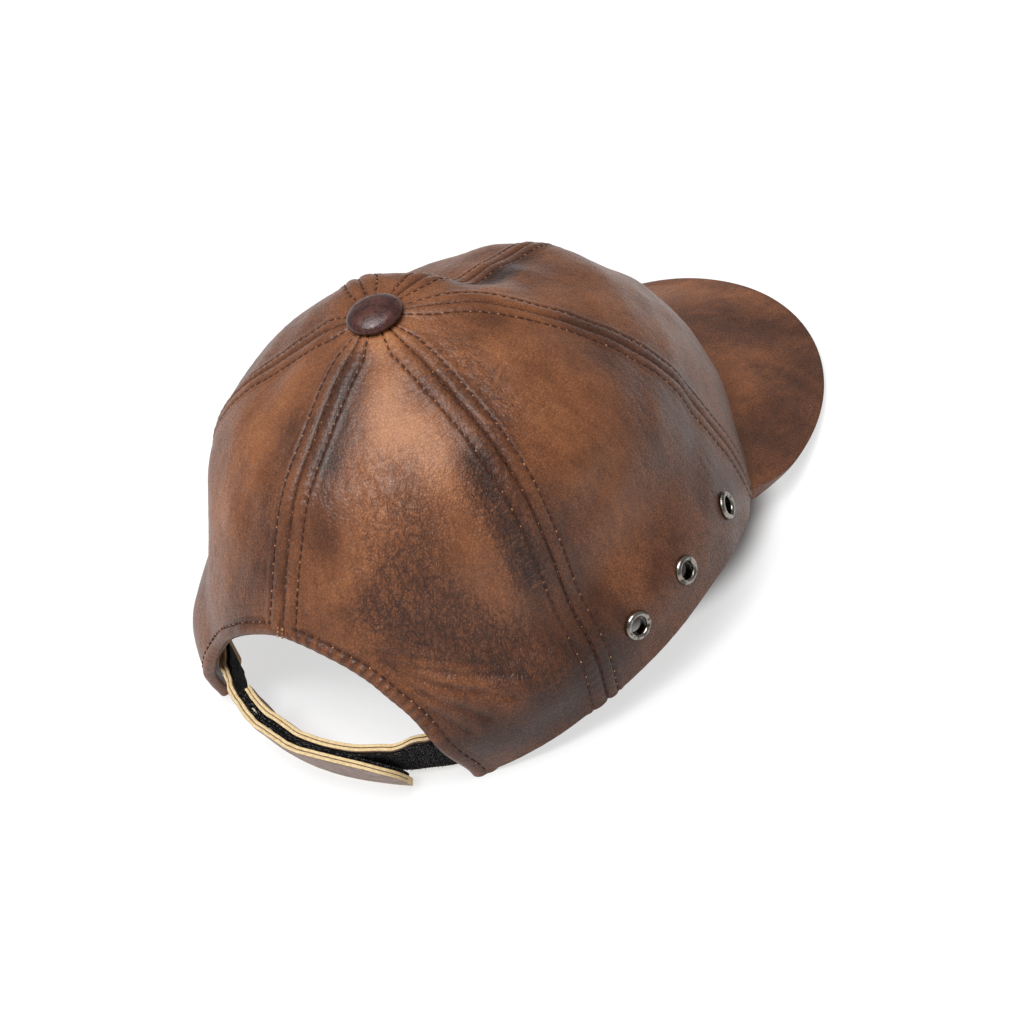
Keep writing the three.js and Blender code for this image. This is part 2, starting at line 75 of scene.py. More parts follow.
def smooth(a: Any, b: Any, c: Any, d: Any, t: Any) -> Any:
    """A smooth curve through four evenly spaced values.

    Args:
        a, b, c, d: The values.
        t: Share of the way from b to c.

    Returns:
        The value of the curve there.
    """
    bend = 2 * a - 5 * b + 4 * c - d
    twist = 3 * (b - c) + d - a
    return b + t * (c - a + t * (bend + t * twist)) / 2


def bell(distance: Any, width: float) -> Any:
    """A soft bump of height one and the half width given."""
    return np.exp(-((distance / width) ** 2))


def fade(value: Any, low: float, high: float) -> Any:
    """Zero below low, one above high and smooth between them."""
    share = np.clip((value - low) / (high - low), 0, 1)
    return share * share * (3 - 2 * share)


def to_segment(points: np.ndarray, start: np.ndarray, end: np.ndarray) -> np.ndarray:
    """Distances of points from a straight segment.

    Args:
        points: Points, three numbers each.
        start: One end of the segment.
        end: Its other end.

    Returns:
        One distance for each point.
    """
    way = end - start
    share = np.clip(((points - start) @ way) / max(float(way @ way), 1e-12), 0, 1)
    return np.linalg.norm(points - start - share[..., None] * way, axis=-1)


def ripples(points: np.ndarray, wave: float, seed: int, waves: int = 14) -> np.ndarray:
    """Even random ripples in space, the same on each run.

    Args:
        points: Points, three numbers each.
        wave: Length of a ripple.
        seed: Chooses one pattern.
        waves: Number of plane waves that are added up.

    Returns:
        One number for each point, about -1 to 1.
    """
    chance = np.random.default_rng(seed)
    ways = chance.normal(size=(waves, 3))
    ways /= np.linalg.norm(ways, axis=1, keepdims=True)
    lengths = wave * chance.uniform(0.75, 1.35, waves)
    starts = chance.uniform(0, 2 * math.pi, waves)
    total = sum(
        np.sin(points @ way * (2 * math.pi / length) + start)
        for way, length, start in zip(ways, lengths, starts)
    )
    return total * math.sqrt(2 / waves) / 1.6


# Form of the peak and the crown


@dataclass(frozen=True)
class PeakSizes:
    """Sizes of the peak."""

    reach: float = 126 * MM
    width: float = 162 * MM
    thickness: float = 3.6 * MM
    edge_flat: float = 0.8 * MM
    droop: float = 25.5 * MM
    slope: float = 0.24
    squareness: float = 2.3
    waist: float = 30 * MM
    turn: float = 120.0
    outline_steps: int = 36


@dataclass(frozen=True)
class CrownSizes:
    """Sizes of the crown."""

    length: float = 194 * MM
    width: float = 178 * MM
    height: float = 115 * MM
    top_shift: float = 20 * MM
    leather: float = 1.8 * MM
    gap: float = 0.3 * MM
    flattened: float = 0.5 * MM
    swell: float = 1.2 * MM
    top_hole: float = 3.4 * MM
    near_top: float = 0.06
    step: float = 0.01
    rim_step: float = 30.0
    rim_rise: tuple[float, ...] = (0, 0, 0.1, 0.195)
    rim_settle: float = 0.15


BACK_SEAM = (
    (1.0, 0.0), (1.1, 0.16), (1.05, 0.32), (0.95, 0.47), (0.82, 0.62),
    (0.67, 0.76), (0.47, 0.86), (0.24, 0.95), (0.0, 1.0),
)
REAR_SEAM = (
    (1.0, 0.0), (0.99, 0.17), (0.89, 0.33), (0.84, 0.5), (0.77, 0.66),
    (0.62, 0.8), (0.43, 0.89), (0.22, 0.96), (0.0, 1.0),
)
BROW_SEAM = (
    (1.0, 0.0), (0.96, 0.17), (0.88, 0.36), (0.8, 0.54), (0.68, 0.69),
    (0.53, 0.82), (0.37, 0.92), (0.19, 0.99), (0.0, 1.0),
)
FRONT_SEAM = (
    (1.0, 0.0), (1.04, 0.21), (0.96, 0.41), (0.83, 0.58), (0.7, 0.74),
    (0.52, 0.81), (0.36, 0.89), (0.18, 0.97), (0.0, 1.0),
)
SEAMS = (BACK_SEAM, REAR_SEAM, BROW_SEAM, FRONT_SEAM, BROW_SEAM, REAR_SEAM)


@dataclass(frozen=True)
class Fold:
    """A fold or dent between two places on the crown.

    Half width and rise are shares of the crown's height.
    """

    name: str
    turn: float
    along: float
    end_turn: float
    end_along: float
    width: float
    rise: float


FOLDS = (
    Fold("pushed out left corner", -34, 0.0, -40, 0.06, 0.2, 0.052),
    Fold("dent in front of the button", 165, 0.74, 215, 0.7, 0.1, -0.03),
    Fold("hump beside the button", 172, 0.84, 182, 0.84, 0.07, 0.012),
    Fold("slack of the left front", 212, 0.6, 218, 0.66, 0.22, -0.016),
    Fold("ridge over the right front", 128, 0.8, 160, 0.66, 0.07, 0.014),
    Fold("crease from the arch", 24, 0.26, 44, 0.17, 0.07, 0.01),
    Fold("slack beside the arch", 30, 0.36, 48, 0.3, 0.12, -0.01),
    Fold("fullness beyond the button", 215, 0.87, 240, 0.84, 0.13, 0.026),
    Fold("slack of the left shoulder", -62, 0.72, -72, 0.62, 0.16, -0.022),
    Fold("fullness of the left side", -72, 0.38, -78, 0.28, 0.2, 0.012),
)


class PeakForm:
    """The curved board of the peak."""

    def __init__(self, sizes: PeakSizes, crown: CrownSizes) -> None:
        """Works out the peak's height from its outline.

        Args:
            sizes: The peak's own sizes.
            crown: Sizes of the crown that it joins.
        """
        self.sizes = sizes
        angle = math.radians(sizes.turn)
        self.root = (-crown.width / 2 * math.sin(angle), crown.length / 2 * math.cos(angle))
        self.half = sizes.width / 2
        self.high = 0.0
        edge = self.outline(np.linspace(0, 180, sizes.outline_steps + 1))
        low = self.top(edge[:, 0], edge[:, 1]) - sizes.thickness * self.normal(edge[:, 0])[:, 2]
        self.high = float(-low.min()) - crown.flattened

    def top(self, x: np.ndarray, y: np.ndarray) -> np.ndarray:
        """Height of the peak's upper face."""
        forward = self.root[1] - y
        return self.high - self.sizes.slope * forward - self.sizes.droop * (x / self.half) ** 2

    def normal(self, x: np.ndarray) -> np.ndarray:
        """Outward directions of the upper face."""
        across = 2 * self.sizes.droop * x / self.half**2
        way = np.stack([across, np.full_like(across, -self.sizes.slope), np.ones_like(across)], -1)
        return way / np.linalg.norm(way, axis=-1, keepdims=True)

    def outline(self, angle: np.ndarray) -> np.ndarray:
        """Outline from 0 at the right root to 180 at the left root.

        Args:
            angle: Angles in degrees.

        Returns:
            Two numbers for each angle.
        """
        across = np.cos(np.radians(angle))
        ahead = np.clip(np.sin(np.radians(angle)), 0, None)
        power = 2 / self.sizes.squareness
        forward = self.sizes.reach * ahead**power
        waist = (self.half + self.root[0]) * np.clip(1 - forward / self.sizes.waist, 0, None) ** 2
        half = np.clip(self.half * np.abs(across) ** power - waist, 0, None)
        return np.stack([-np.sign(across) * half, self.root[1] - forward], -1)


class CrownForm:
    """The crown's outer face as a function of turn and share of the way up."""

    def __init__(self, sizes: CrownSizes, peak: PeakForm) -> None:
        """Prepares the tables.

        Args:
            sizes: The crown's sizes.
            peak: The peak, on which the front edge stands.
        """
        self.sizes = sizes
        self.peak = peak
        self.table = np.array([self._padded(rows) for rows in SEAMS])
        free = [share * sizes.height - sizes.flattened for share in sizes.rim_rise]
        seats = [self._seat(turn) for turn in (peak.sizes.turn, peak.sizes.turn + sizes.rim_step)]
        self.rims = np.array([free[1], *free, *seats])
        self.folds = [
            (self.base(fold.turn, fold.along), self.base(fold.end_turn, fold.end_along), fold)
            for fold in FOLDS
        ]
        self.panel_top = self.along_at(PANEL_TURN / 2, sizes.top_hole)

    @staticmethod
    def _padded(rows: Sequence[tuple[float, float]]) -> list[tuple[float, float]]:
        """A seam's rows with one more before the rim and one past the button."""
        before = (2 * rows[0][0] - rows[1][0], 2 * rows[0][1] - rows[1][1])
        return [before, *rows, (-rows[-2][0], rows[-2][1])]

    def rim(self, turn: Any) -> tuple[np.ndarray, np.ndarray]:
        """Plan of the rim at a turn."""
        angle = np.radians(turn)
        return -self.sizes.width / 2 * np.sin(angle), self.sizes.length / 2 * np.cos(angle)

    def rim_outward(self, turn: Any) -> np.ndarray:
        """Direction straight out of the rim in plan."""
        angle = np.radians(turn)
        way = np.stack([-np.sin(angle) / self.sizes.width, np.cos(angle) / self.sizes.length], -1)
        return way / np.linalg.norm(way, axis=-1, keepdims=True)

    def _seat(self, turn: float) -> float:
        """Height of the crown's lower edge on the peak."""
        x, y = self.rim(turn)
        return float(self.peak.top(x, y)) + self.sizes.gap

    def rim_height(self, turn: Any, x: Any, y: Any) -> np.ndarray:
        """Height of the crown's lower edge."""
        away = np.abs(np.mod(np.asarray(turn, float) + 180, 360) - 180)
        place = away / self.sizes.rim_step
        row = np.clip(np.floor(place).astype(int), 0, len(self.rims) - 4)
        free = smooth(*(self.rims[row + i] for i in range(4)), place - row)
        return np.where(away >= self.peak.sizes.turn, self.peak.top(x, y) + self.sizes.gap, free)

    def shares(self, turn: Any, along: Any) -> np.ndarray:
        """Shares out and up at places on the crown."""
        place = np.mod(turn, 360) / PANEL_TURN
        seam = np.floor(place).astype(int)
        last = self.table.shape[1] - 4
        rows = np.asarray(along, float) * (self.table.shape[1] - 3)
        row = np.clip(np.floor(rows).astype(int), 0, last)
        t = (rows - row)[..., None]
        sections = [
            smooth(*(self.table[(seam + step) % PANELS, row + i] for i in range(4)), t)
            for step in (-1, 0, 1, 2)
        ]
        return smooth(*sections, (place - seam)[..., None])

    def base(self, turn: Any, along: Any) -> np.ndarray:
        """The crown's form before swelling and folds."""
        turn, along = np.broadcast_arrays(np.asarray(turn, float), np.asarray(along, float))
        x, y = self.rim(turn)
        low = self.rim_height(turn, x, y)
        share = self.shares(turn, along)
        out, up = share[..., 0], share[..., 1]
        shift = self.sizes.top_shift
        return np.stack([x * out, shift + (y - shift) * out, low + (self.sizes.height - low) * up], -1)

    def normal(self, turn: Any, along: Any) -> np.ndarray:
        """Outward directions."""
        step = self.sizes.step
        around = self.base(turn + step, along) - self.base(turn - step, along)
        upward = self.base(turn, along + step) - self.base(turn, along)
        way = np.cross(around, upward)
        return way / np.linalg.norm(way, axis=-1, keepdims=True)

    def raised(self, turn: Any, along: Any) -> tuple[np.ndarray, np.ndarray]:
        """Points with swelling and folds, and the outward directions."""
        point = self.base(turn, along)
        across = np.mod(turn, PANEL_TURN) / PANEL_TURN
        lift = self.sizes.swell * np.sin(np.pi * across) * (1 - along)
        for start, end, fold in self.folds:
            width = fold.width * self.sizes.height
            lift = lift + fold.rise * self.sizes.height * bell(to_segment(point, start, end), width)
        normal = self.normal(turn, along)
        return point + normal * lift[..., None], normal

    def surface(self, turn: Any, along: Any, lift: Any = 0.0) -> tuple[np.ndarray, np.ndarray]:
        """The crown's outer face.

        Args:
            turn: Turns in degrees.
            along: Shares of the way up.
            lift: Height over the face.

        Returns:
            The points and the outward directions.
        """
        turn, along = np.broadcast_arrays(np.asarray(turn, float), np.asarray(along, float))
        point, normal = self.raised(turn, along)
        foot, _ = self.raised(turn, np.zeros_like(along))
        settle = self.rim_height(turn, foot[..., 0], foot[..., 1]) - foot[..., 2]
        point[..., 2] += settle * np.clip(1 - along / self.sizes.rim_settle, 0, 1) ** 2
        return point + normal * np.asarray(lift)[..., None], normal

    def along_at(self, turn: float, radius: float) -> float:
        """Share of the way up at a small radius from the top."""
        near = self.base(turn, 1 - self.sizes.near_top)
        return 1 - self.sizes.near_top * radius / math.hypot(near[0], near[1] - self.sizes.top_shift)

    def solve(self, x: np.ndarray, z: np.ndarray) -> tuple[np.ndarray, np.ndarray]:
        """Turn and share of the way up of places at the back, by their x and z.

        Args:
            x: Places across the back.
            z: Their heights.

        Returns:
            Turns and shares.
        """
        turn = np.degrees(np.arcsin(np.clip(-x / (self.sizes.width / 2), -1, 1)))
        along = z / self.sizes.height
        small = 1e-4
        for _ in range(12):
            here = self.surface(turn, along)[0]
            by_turn = (self.surface(turn + small, along)[0] - here) / small
            by_along = (self.surface(turn, along + small)[0] - here) / small
            miss = np.stack([x - here[..., 0], z - here[..., 2]], -1)
            area = by_turn[..., 0] * by_along[..., 2] - by_turn[..., 2] * by_along[..., 0]
            turn = turn + (miss[..., 0] * by_along[..., 2] - miss[..., 1] * by_along[..., 0]) / area
            along = along + (miss[..., 1] * by_turn[..., 0] - miss[..., 0] * by_turn[..., 2]) / area
            turn = np.clip(turn, -60, 60)
            along = np.clip(along, -0.05, 0.9)
        return turn, along


# Shader maths and materials


class Channel:
    """A number that varies over a surface. Its operators add Math nodes."""

    def __init__(self, recipe: "Recipe", socket: bpy.types.NodeSocket) -> None:
        """Wraps a socket of a recipe."""
        self.recipe = recipe
        self.socket = socket

    def math(self, operation: str, *others: Any, clamp: bool = False) -> "Channel":
        """Adds one Math node whose first value is this one.

        Args:
            operation: The Math node's operation.
            others: Its further values.
            clamp: Keeps the result from 0 to 1.

        Returns:
            The result.
        """
        return self.recipe.math(operation, self, *others, clamp=clamp)

    def __add__(self, other: Any) -> "Channel":
        """Sum."""
        return self.math("ADD", other)

    __radd__ = __add__

    def __mul__(self, other: Any) -> "Channel":
        """Product."""
        return self.math("MULTIPLY", other)

    __rmul__ = __mul__

    def __sub__(self, other: Any) -> "Channel":
        """Difference."""
        return self.math("SUBTRACT", other)

    def __rsub__(self, other: Any) -> "Channel":
        """Difference, the other way round."""
        return self.recipe.math("SUBTRACT", other, self)

    def held(self) -> "Channel":
        """The value kept from 0 to 1."""
        return self.math("ADD", 0.0, clamp=True)

    def between(self, low: float, high: float) -> "Channel":
        """Zero below low, one above high and smooth between them."""
        node = self.recipe.node(
            "ShaderNodeMapRange",
            {"interpolation_type": "SMOOTHSTEP"},
            {"Value": self, "From Min": low, "From Max": high},
        )
        return Channel(self.recipe, node.outputs[0])


class Recipe:
    """One material that is being made."""

    def __init__(self, name: str) -> None:
        """Starts an empty material."""
        self.material = bpy.data.materials.new(name)
        self.material.use_nodes = True
        self.tree = self.material.node_tree
        self.tree.nodes.clear()
        self.place = self.node("ShaderNodeTexCoord").outputs["Object"]
        self.hide = self.place

    def node(
        self,
        kind: str,
        settings: dict[str, Any] | None = None,
        inputs: dict[str | int, Any] | None = None,
    ) -> bpy.types.Node:
        """Adds a node.

        Args:
            kind: The node's type.
            settings: Its properties, and a ramp's stops under "stops".
            inputs: Values or links of its sockets.

        Returns:
            The node.
        """
        made = self.tree.nodes.new(kind)
        for name, value in (settings or {}).items():
            if name == "stops":
                self._stops(made.color_ramp, value)
            else:
                setattr(made, name, value)
        for name, value in (inputs or {}).items():
            self._give(made.inputs[name], value)
        return made

    @staticmethod
    def _stops(ramp: bpy.types.ColorRamp, stops: Sequence[tuple[float, Colour]]) -> None:
        """Sets a ramp's stops."""
        while len(ramp.elements) < len(stops):
            ramp.elements.new(1.0)
        for element, (position, colour) in zip(ramp.elements, stops):
            element.position = position
            element.color = (*colour, 1.0)

    def _give(self, socket: bpy.types.NodeSocket, value: Any) -> None:
        """Links a socket or sets its value."""
        if isinstance(value, Channel):
            value = value.socket
        if isinstance(value, bpy.types.NodeSocket):
            self.tree.links.new(value, socket)
        elif socket.type == "RGBA":
            socket.default_value = (*value, 1.0)
        else:
            socket.default_value = value

    def math(self, operation: str, *values: Any, clamp: bool = False) -> Channel:
        """Adds one Math node."""
        node = self.node("ShaderNodeMath", {"operation": operation, "use_clamp": clamp})
        for socket, value in zip(node.inputs, values):
            self._give(socket, value)
        return Channel(self, node.outputs[0])

    def use_hide(self) -> None:
        """Lays the textures along the stretch of the leather, kept on the points."""
        self.hide = self.node("ShaderNodeAttribute", {"attribute_name": "hide"}).outputs["Vector"]

    def attribute(self, name: str) -> Channel:
        """A number that is painted on the piece's points."""
        node = self.node("ShaderNodeAttribute", {"attribute_name": name})
        return Channel(self, node.outputs["Fac"])

    def noise(
        self, size: float, detail: float = 2.0, swirl: float = 0.0, stretch: Colour | None = None
    ) -> Channel:
        """Soft noise.

        Args:
            size: Size of its patches in metres.
            detail: Number of finer layers.
            swirl: How much it is distorted.
            stretch: Scale along each axis.

        Returns:
            The noise, from 0 to 1.
        """
        inputs = {"Scale": 1 / size, "Detail": detail, "Distortion": swirl, "Vector": self.spot(stretch)}
        return Channel(self, self.node("ShaderNodeTexNoise", None, inputs).outputs[0])

    def spot(self, stretch: Colour | None) -> bpy.types.NodeSocket:
        """Object coordinates, or those of the flat leather stretched."""
        if stretch is None:
            return self.place
        return self.node("ShaderNodeMapping", None, {"Vector": self.hide, "Scale": stretch}).outputs[0]

    def cells(
        self, size: float, feature: str, swirl: float = 0.0, stretch: Colour | None = None
    ) -> Channel:
        """Cells, as in the grain of leather.

        Args:
            size: Size of a cell in metres.
            feature: F1 or DISTANCE_TO_EDGE.
            swirl: How far noise moves the cells, in metres.
            stretch: Scale along each axis.

        Returns:
            The distance from a cell's middle or edge.
        """
        vector = self.spot(stretch)
        if swirl:
            inputs = {"Scale": 0.4 / size, "Detail": 2.0, "Vector": vector}
            noise = self.node("ShaderNodeTexNoise", None, inputs)
            moved = self.node(
                "ShaderNodeVectorMath",
                {"operation": "MULTIPLY_ADD"},
                {0: noise.outputs[1], 1: (swirl, swirl, swirl), 2: vector},
            )
            vector = moved.outputs[0]
        inputs = {"Scale": 1 / size, "Vector": vector}
        node = self.node("ShaderNodeTexVoronoi", {"feature": feature}, inputs)
        return Channel(self, node.outputs["Distance"])

    def ramp(self, value: Channel, stops: Sequence[tuple[float, Colour]]) -> bpy.types.NodeSocket:
        """A colour that follows a value."""
        return self.node("ShaderNodeValToRGB", {"stops": stops}, {0: value}).outputs[0]

    def blend(self, share: Any, first: Any, second: Any) -> bpy.types.NodeSocket:
        """Two colours mixed.

        Args:
            share: Share of the second.
            first: A colour or its socket.
            second: A colour or its socket.

        Returns:
            The mixed colour.
        """
        settings = {"data_type": "RGBA", "blend_type": "MIX", "clamp_factor": True}
        return self.node("ShaderNodeMix", settings, {0: share, 6: first, 7: second}).outputs[2]

    def bump(self, height: Channel, depth: float, under: Any = None) -> bpy.types.NodeSocket:
        """A surface roughened by a height.

        Args:
            height: The height, about 0 to 1.
            depth: Its depth in metres.
            under: A normal that it is added to.

        Returns:
            The normal.
        """
        inputs = {"Height": height, "Distance": depth, "Strength": 1.0}
        if under is not None:
            inputs["Normal"] = under
        return self.node("ShaderNodeBump", None, inputs).outputs[0]

    def surface(self, fixed: dict[str, Any], varied: dict[str, Any]) -> bpy.types.Material:
        """Ends the material in one Principled shader.

        Args:
            fixed: Values that are the same all over.
            varied: Links that vary over the surface.

        Returns:
            The material.
        """
        shader = self.node("ShaderNodeBsdfPrincipled", None, {**fixed, **varied})
        self.node("ShaderNodeOutputMaterial", None, {"Surface": shader.outputs[0]})
        return self.material


@dataclass(frozen=True)
class Leather:
    """Waxed brown leather with rubbed lights, dark smudges, grain and fine creases; its painted tone
    also holds painted shade in creases, in the front dent and towards the rim.
    """

    name: str = "leather"
    darkest: Colour = (0.030, 0.010, 0.005)
    dark: Colour = (0.088, 0.029, 0.012)
    middle: Colour = (0.200, 0.071, 0.027)
    light: Colour = (0.340, 0.134, 0.052)
    lightest: Colour = (0.410, 0.178, 0.076)
    shift: float = 0.0
    contrast: float = 1.0
    roughness: float = 0.38
    grain: float = 0.95 * MM
    vein: float = 0.9 * MM

    def make(self) -> bpy.types.Material:
        """Makes the material."""
        r = Recipe(self.name)
        r.use_hide()
        tone, veined, seam = (r.attribute(name) for name in ("tone", "vein", "seam"))
        broad = r.noise(34 * MM, 3.0, 0.6)
        patches = r.noise(11 * MM, 4.0, 0.8)
        streaks = r.noise(2.6 * MM, 3.0, 0.5, (1.0, 0.28, 1.0))
        fine = r.noise(1.3 * MM, 2.0)
        # The tone painted on the points holds both wear and painted shade
        level = 0.46 + self.shift + 0.44 * tone
        level = level + (0.40 * self.contrast) * (broad - 0.5) + 0.34 * (patches - 0.5)
        level = level + 0.26 * (streaks - 0.5) + 0.14 * (fine - 0.5)
        creases = r.cells(self.vein, "DISTANCE_TO_EDGE", 2.6 * MM, (1.0, 0.6, 1.0))
        open_grain = ((0.08 + veined) * (0.2 + 1.6 * patches)).held()
        winding = r.noise(2.1 * MM, 3.0, 0.5, (1.0, 0.6, 1.0))
        lines = 1 - (winding - 0.5).math("ABSOLUTE").between(0.0, 0.11)
        cracks = 0.35 * (1 - creases.between(0.0, 0.25)) + 0.65 * lines
        scratches = r.noise(1.1 * MM, 3.0, 0.3, (0.2, 1.0, 1.0)).between(0.52, 0.68)
        scratches = scratches * r.attribute("scratch")
        pebbles = r.cells(self.grain, "F1", 0.3 * MM)
        between = r.cells(self.grain, "DISTANCE_TO_EDGE", 0.3 * MM)
        pits = 1 - between.between(0.0, 0.2)
        level = level - 0.25 * cracks * open_grain - 0.17 * pits * (0.4 + patches)
        level = level - 0.10 * seam + 0.20 * scratches
        tones = (self.darkest, self.dark, self.middle, self.light, self.lightest)
        stops = [(number / (len(tones) - 1), tone) for number, tone in enumerate(tones)]
        colour = r.ramp(level.held(), stops)
        gloss = self.roughness + 0.18 * (patches - 0.5) + 0.12 * pits + 0.14 * cracks * open_grain
        normal = r.bump((1 - pebbles) + 0.5 * fine, 0.10 * MM)
        normal = r.bump((1 - cracks) * (0.15 + open_grain), 0.16 * MM, normal)
        normal = r.bump(streaks + 1.4 * scratches, 0.16 * MM, normal)
        normal = r.bump(patches, 0.35 * MM, normal)
        return r.surface(
            {"Specular IOR Level": 0.34, "Coat Weight": 0.07, "Coat Roughness": 0.22},
            {"Base Color": colour, "Roughness": gloss.held(), "Normal": normal},
        )


@dataclass(frozen=True)
class Plain:
    """A rough material of two mingled colours, such as a cut edge, tape or thread."""

    name: str
    first: Colour
    second: Colour
    size: float
    depth: float
    roughness: float = 0.8
    specks: Colour | None = None
    speck_share: float = 0.0
    shine: float = 0.3

    def make(self) -> bpy.types.Material:
        """Makes the material."""
        r = Recipe(self.name)
        mingle = r.noise(self.size, 4.0, 0.3)
        fibres = r.noise(self.size / 4, 2.0)
        colour = r.blend((mingle + fibres).between(0.7, 1.3), self.first, self.second)
        if self.specks is not None:
            dots = r.noise(self.size / 3, 1.0).between(1 - self.speck_share, 1.02 - self.speck_share)
            colour = r.blend(dots, colour, self.specks)
        rough = self.roughness + 0.2 * (fibres - 0.5)
        return r.surface(
            {"Specular IOR Level": self.shine},
            {
                "Base Color": colour,
                "Roughness": rough.held(),
                "Normal": r.bump(mingle + fibres, self.depth),
            },
        )


@dataclass(frozen=True)
class Metal:
    """Dark nickel with fine scratches, and painted shade deep in the barrel."""

    name: str = "eyelet_metal"
    bright: Colour = (0.30, 0.275, 0.245)
    dull: Colour = (0.07, 0.06, 0.052)
    roughness: float = 0.22

    def make(self) -> bpy.types.Material:
        """Makes the material."""
        r = Recipe(self.name)
        tarnish = r.noise(1.6 * MM, 4.0, 0.5)
        scratches = r.noise(0.5 * MM, 2.0, 0.0, (1.0, 1.0, 6.0))
        colour = r.blend(tarnish.between(0.42, 0.68), self.bright, self.dull)
        # Painted shade: the inside of the barrel turns nearly black
        colour = r.blend(r.attribute("deep"), colour, (0.006, 0.004, 0.004))
        gloss = self.roughness + 0.25 * (tarnish - 0.5) + 0.15 * (scratches - 0.5)
        return r.surface(
            {"Metallic": 1.0},
            {
                "Base Color": colour,
                "Roughness": gloss.held(),
                "Normal": r.bump(scratches, 0.02 * MM),
            },
        )


@dataclass(frozen=True)
class ButtonLeather:
    """Dark brown polished leather with a fine mottle."""

    name: str = "button_leather"
    dark: Colour = (0.032, 0.010, 0.009)
    light: Colour = (0.098, 0.034, 0.025)
    roughness: float = 0.30

    def make(self) -> bpy.types.Material:
        """Makes the material."""
        r = Recipe(self.name)
        mottle = r.noise(1.4 * MM, 4.0, 0.6)
        broad = r.noise(6 * MM, 2.0)
        pebbles = r.cells(0.6 * MM, "F1")
        colour = r.blend((mottle + broad).between(0.72, 1.28), self.dark, self.light)
        gloss = self.roughness + 0.2 * (mottle - 0.5)
        return r.surface(
            {"Specular IOR Level": 0.35, "Coat Weight": 0.15, "Coat Roughness": 0.15},
            {
                "Base Color": colour,
                "Roughness": gloss.held(),
                "Normal": r.bump(pebbles + mottle, 0.06 * MM),
            },
        )


@dataclass(frozen=True)
class Floor:
    """Plain pale floor that glows as on a light table, with a painted shadow under the crown where it
    does not glow.
    """

    name: str = "floor"
    colour: Colour = (0.36, 0.36, 0.36)
    glow: float = 0.64
    # Scale of the painted shadow under the crown
    under: tuple[float, float, float] = (11.4, 12.5, 1.0)

    def make(self) -> bpy.types.Material:
        """Makes the material."""
        r = Recipe(self.name)
        shape = {"Vector": r.place, "Scale": self.under}
        spot = r.node("ShaderNodeMapping", None, shape).outputs[0]
        away = r.node("ShaderNodeVectorMath", {"operation": "LENGTH"}, {0: spot}).outputs["Value"]
        # Painted shadow: the floor's glow fades to nearly black under the crown
        stops = [(0.0, (0.05, 0.04, 0.035)), (1.0, (1.0, 1.0, 1.0))]
        light = r.ramp(Channel(r, away).between(0.84, 1.0), stops)
        fixed = {
            "Base Color": self.colour,
            "Roughness": 0.9,
            "Specular IOR Level": 0.0,
            "Emission Strength": self.glow,
        }
        return r.surface(fixed, {"Emission Color": light})


FLESH = Plain("flesh_side", (0.28, 0.16, 0.09), (0.43, 0.27, 0.15), 1.2 * MM, 0.25 * MM, 0.9)
RAW_EDGE = Plain("raw_edge", (0.62, 0.44, 0.22), (0.80, 0.64, 0.38), 1.4 * MM, 0.25 * MM, 0.85)
GLUE_LINE = Plain("glue_line", (0.10, 0.055, 0.03), (0.20, 0.12, 0.06), 0.8 * MM, 0.2 * MM, 0.8)
STRAP_FACE = Plain("strap_leather", (0.15, 0.085, 0.065), (0.3, 0.205, 0.165), 3.5 * MM, 0.12 * MM, 0.5)
TAPE = Plain(
    "tape", (0.002, 0.002, 0.0025), (0.008, 0.0075, 0.009), 0.9 * MM, 0.4 * MM, 0.95,
    specks=(0.20, 0.19, 0.18), speck_share=0.37, shine=0.08,
)
FUZZ = Plain(
    "tape_fuzz", (0.004, 0.004, 0.0045), (0.05, 0.048, 0.05), 1.5 * MM, 0.05 * MM, 0.8, shine=0.15,
)
THREAD = Plain("thread", (0.24, 0.105, 0.045), (0.50, 0.27, 0.14), 3.0 * MM, 0.08 * MM, 0.6)
DARK_THREAD = Plain(
    "dark_thread", (0.026, 0.008, 0.005), (0.085, 0.027, 0.013), 3.0 * MM, 0.08 * MM, 0.6,
)
LOOSE_THREAD = Plain("loose_thread", (0.60, 0.52, 0.42), (0.85, 0.78, 0.66), 0.6 * MM, 0.04 * MM, 0.7)


# Modelling with Blender's own tools


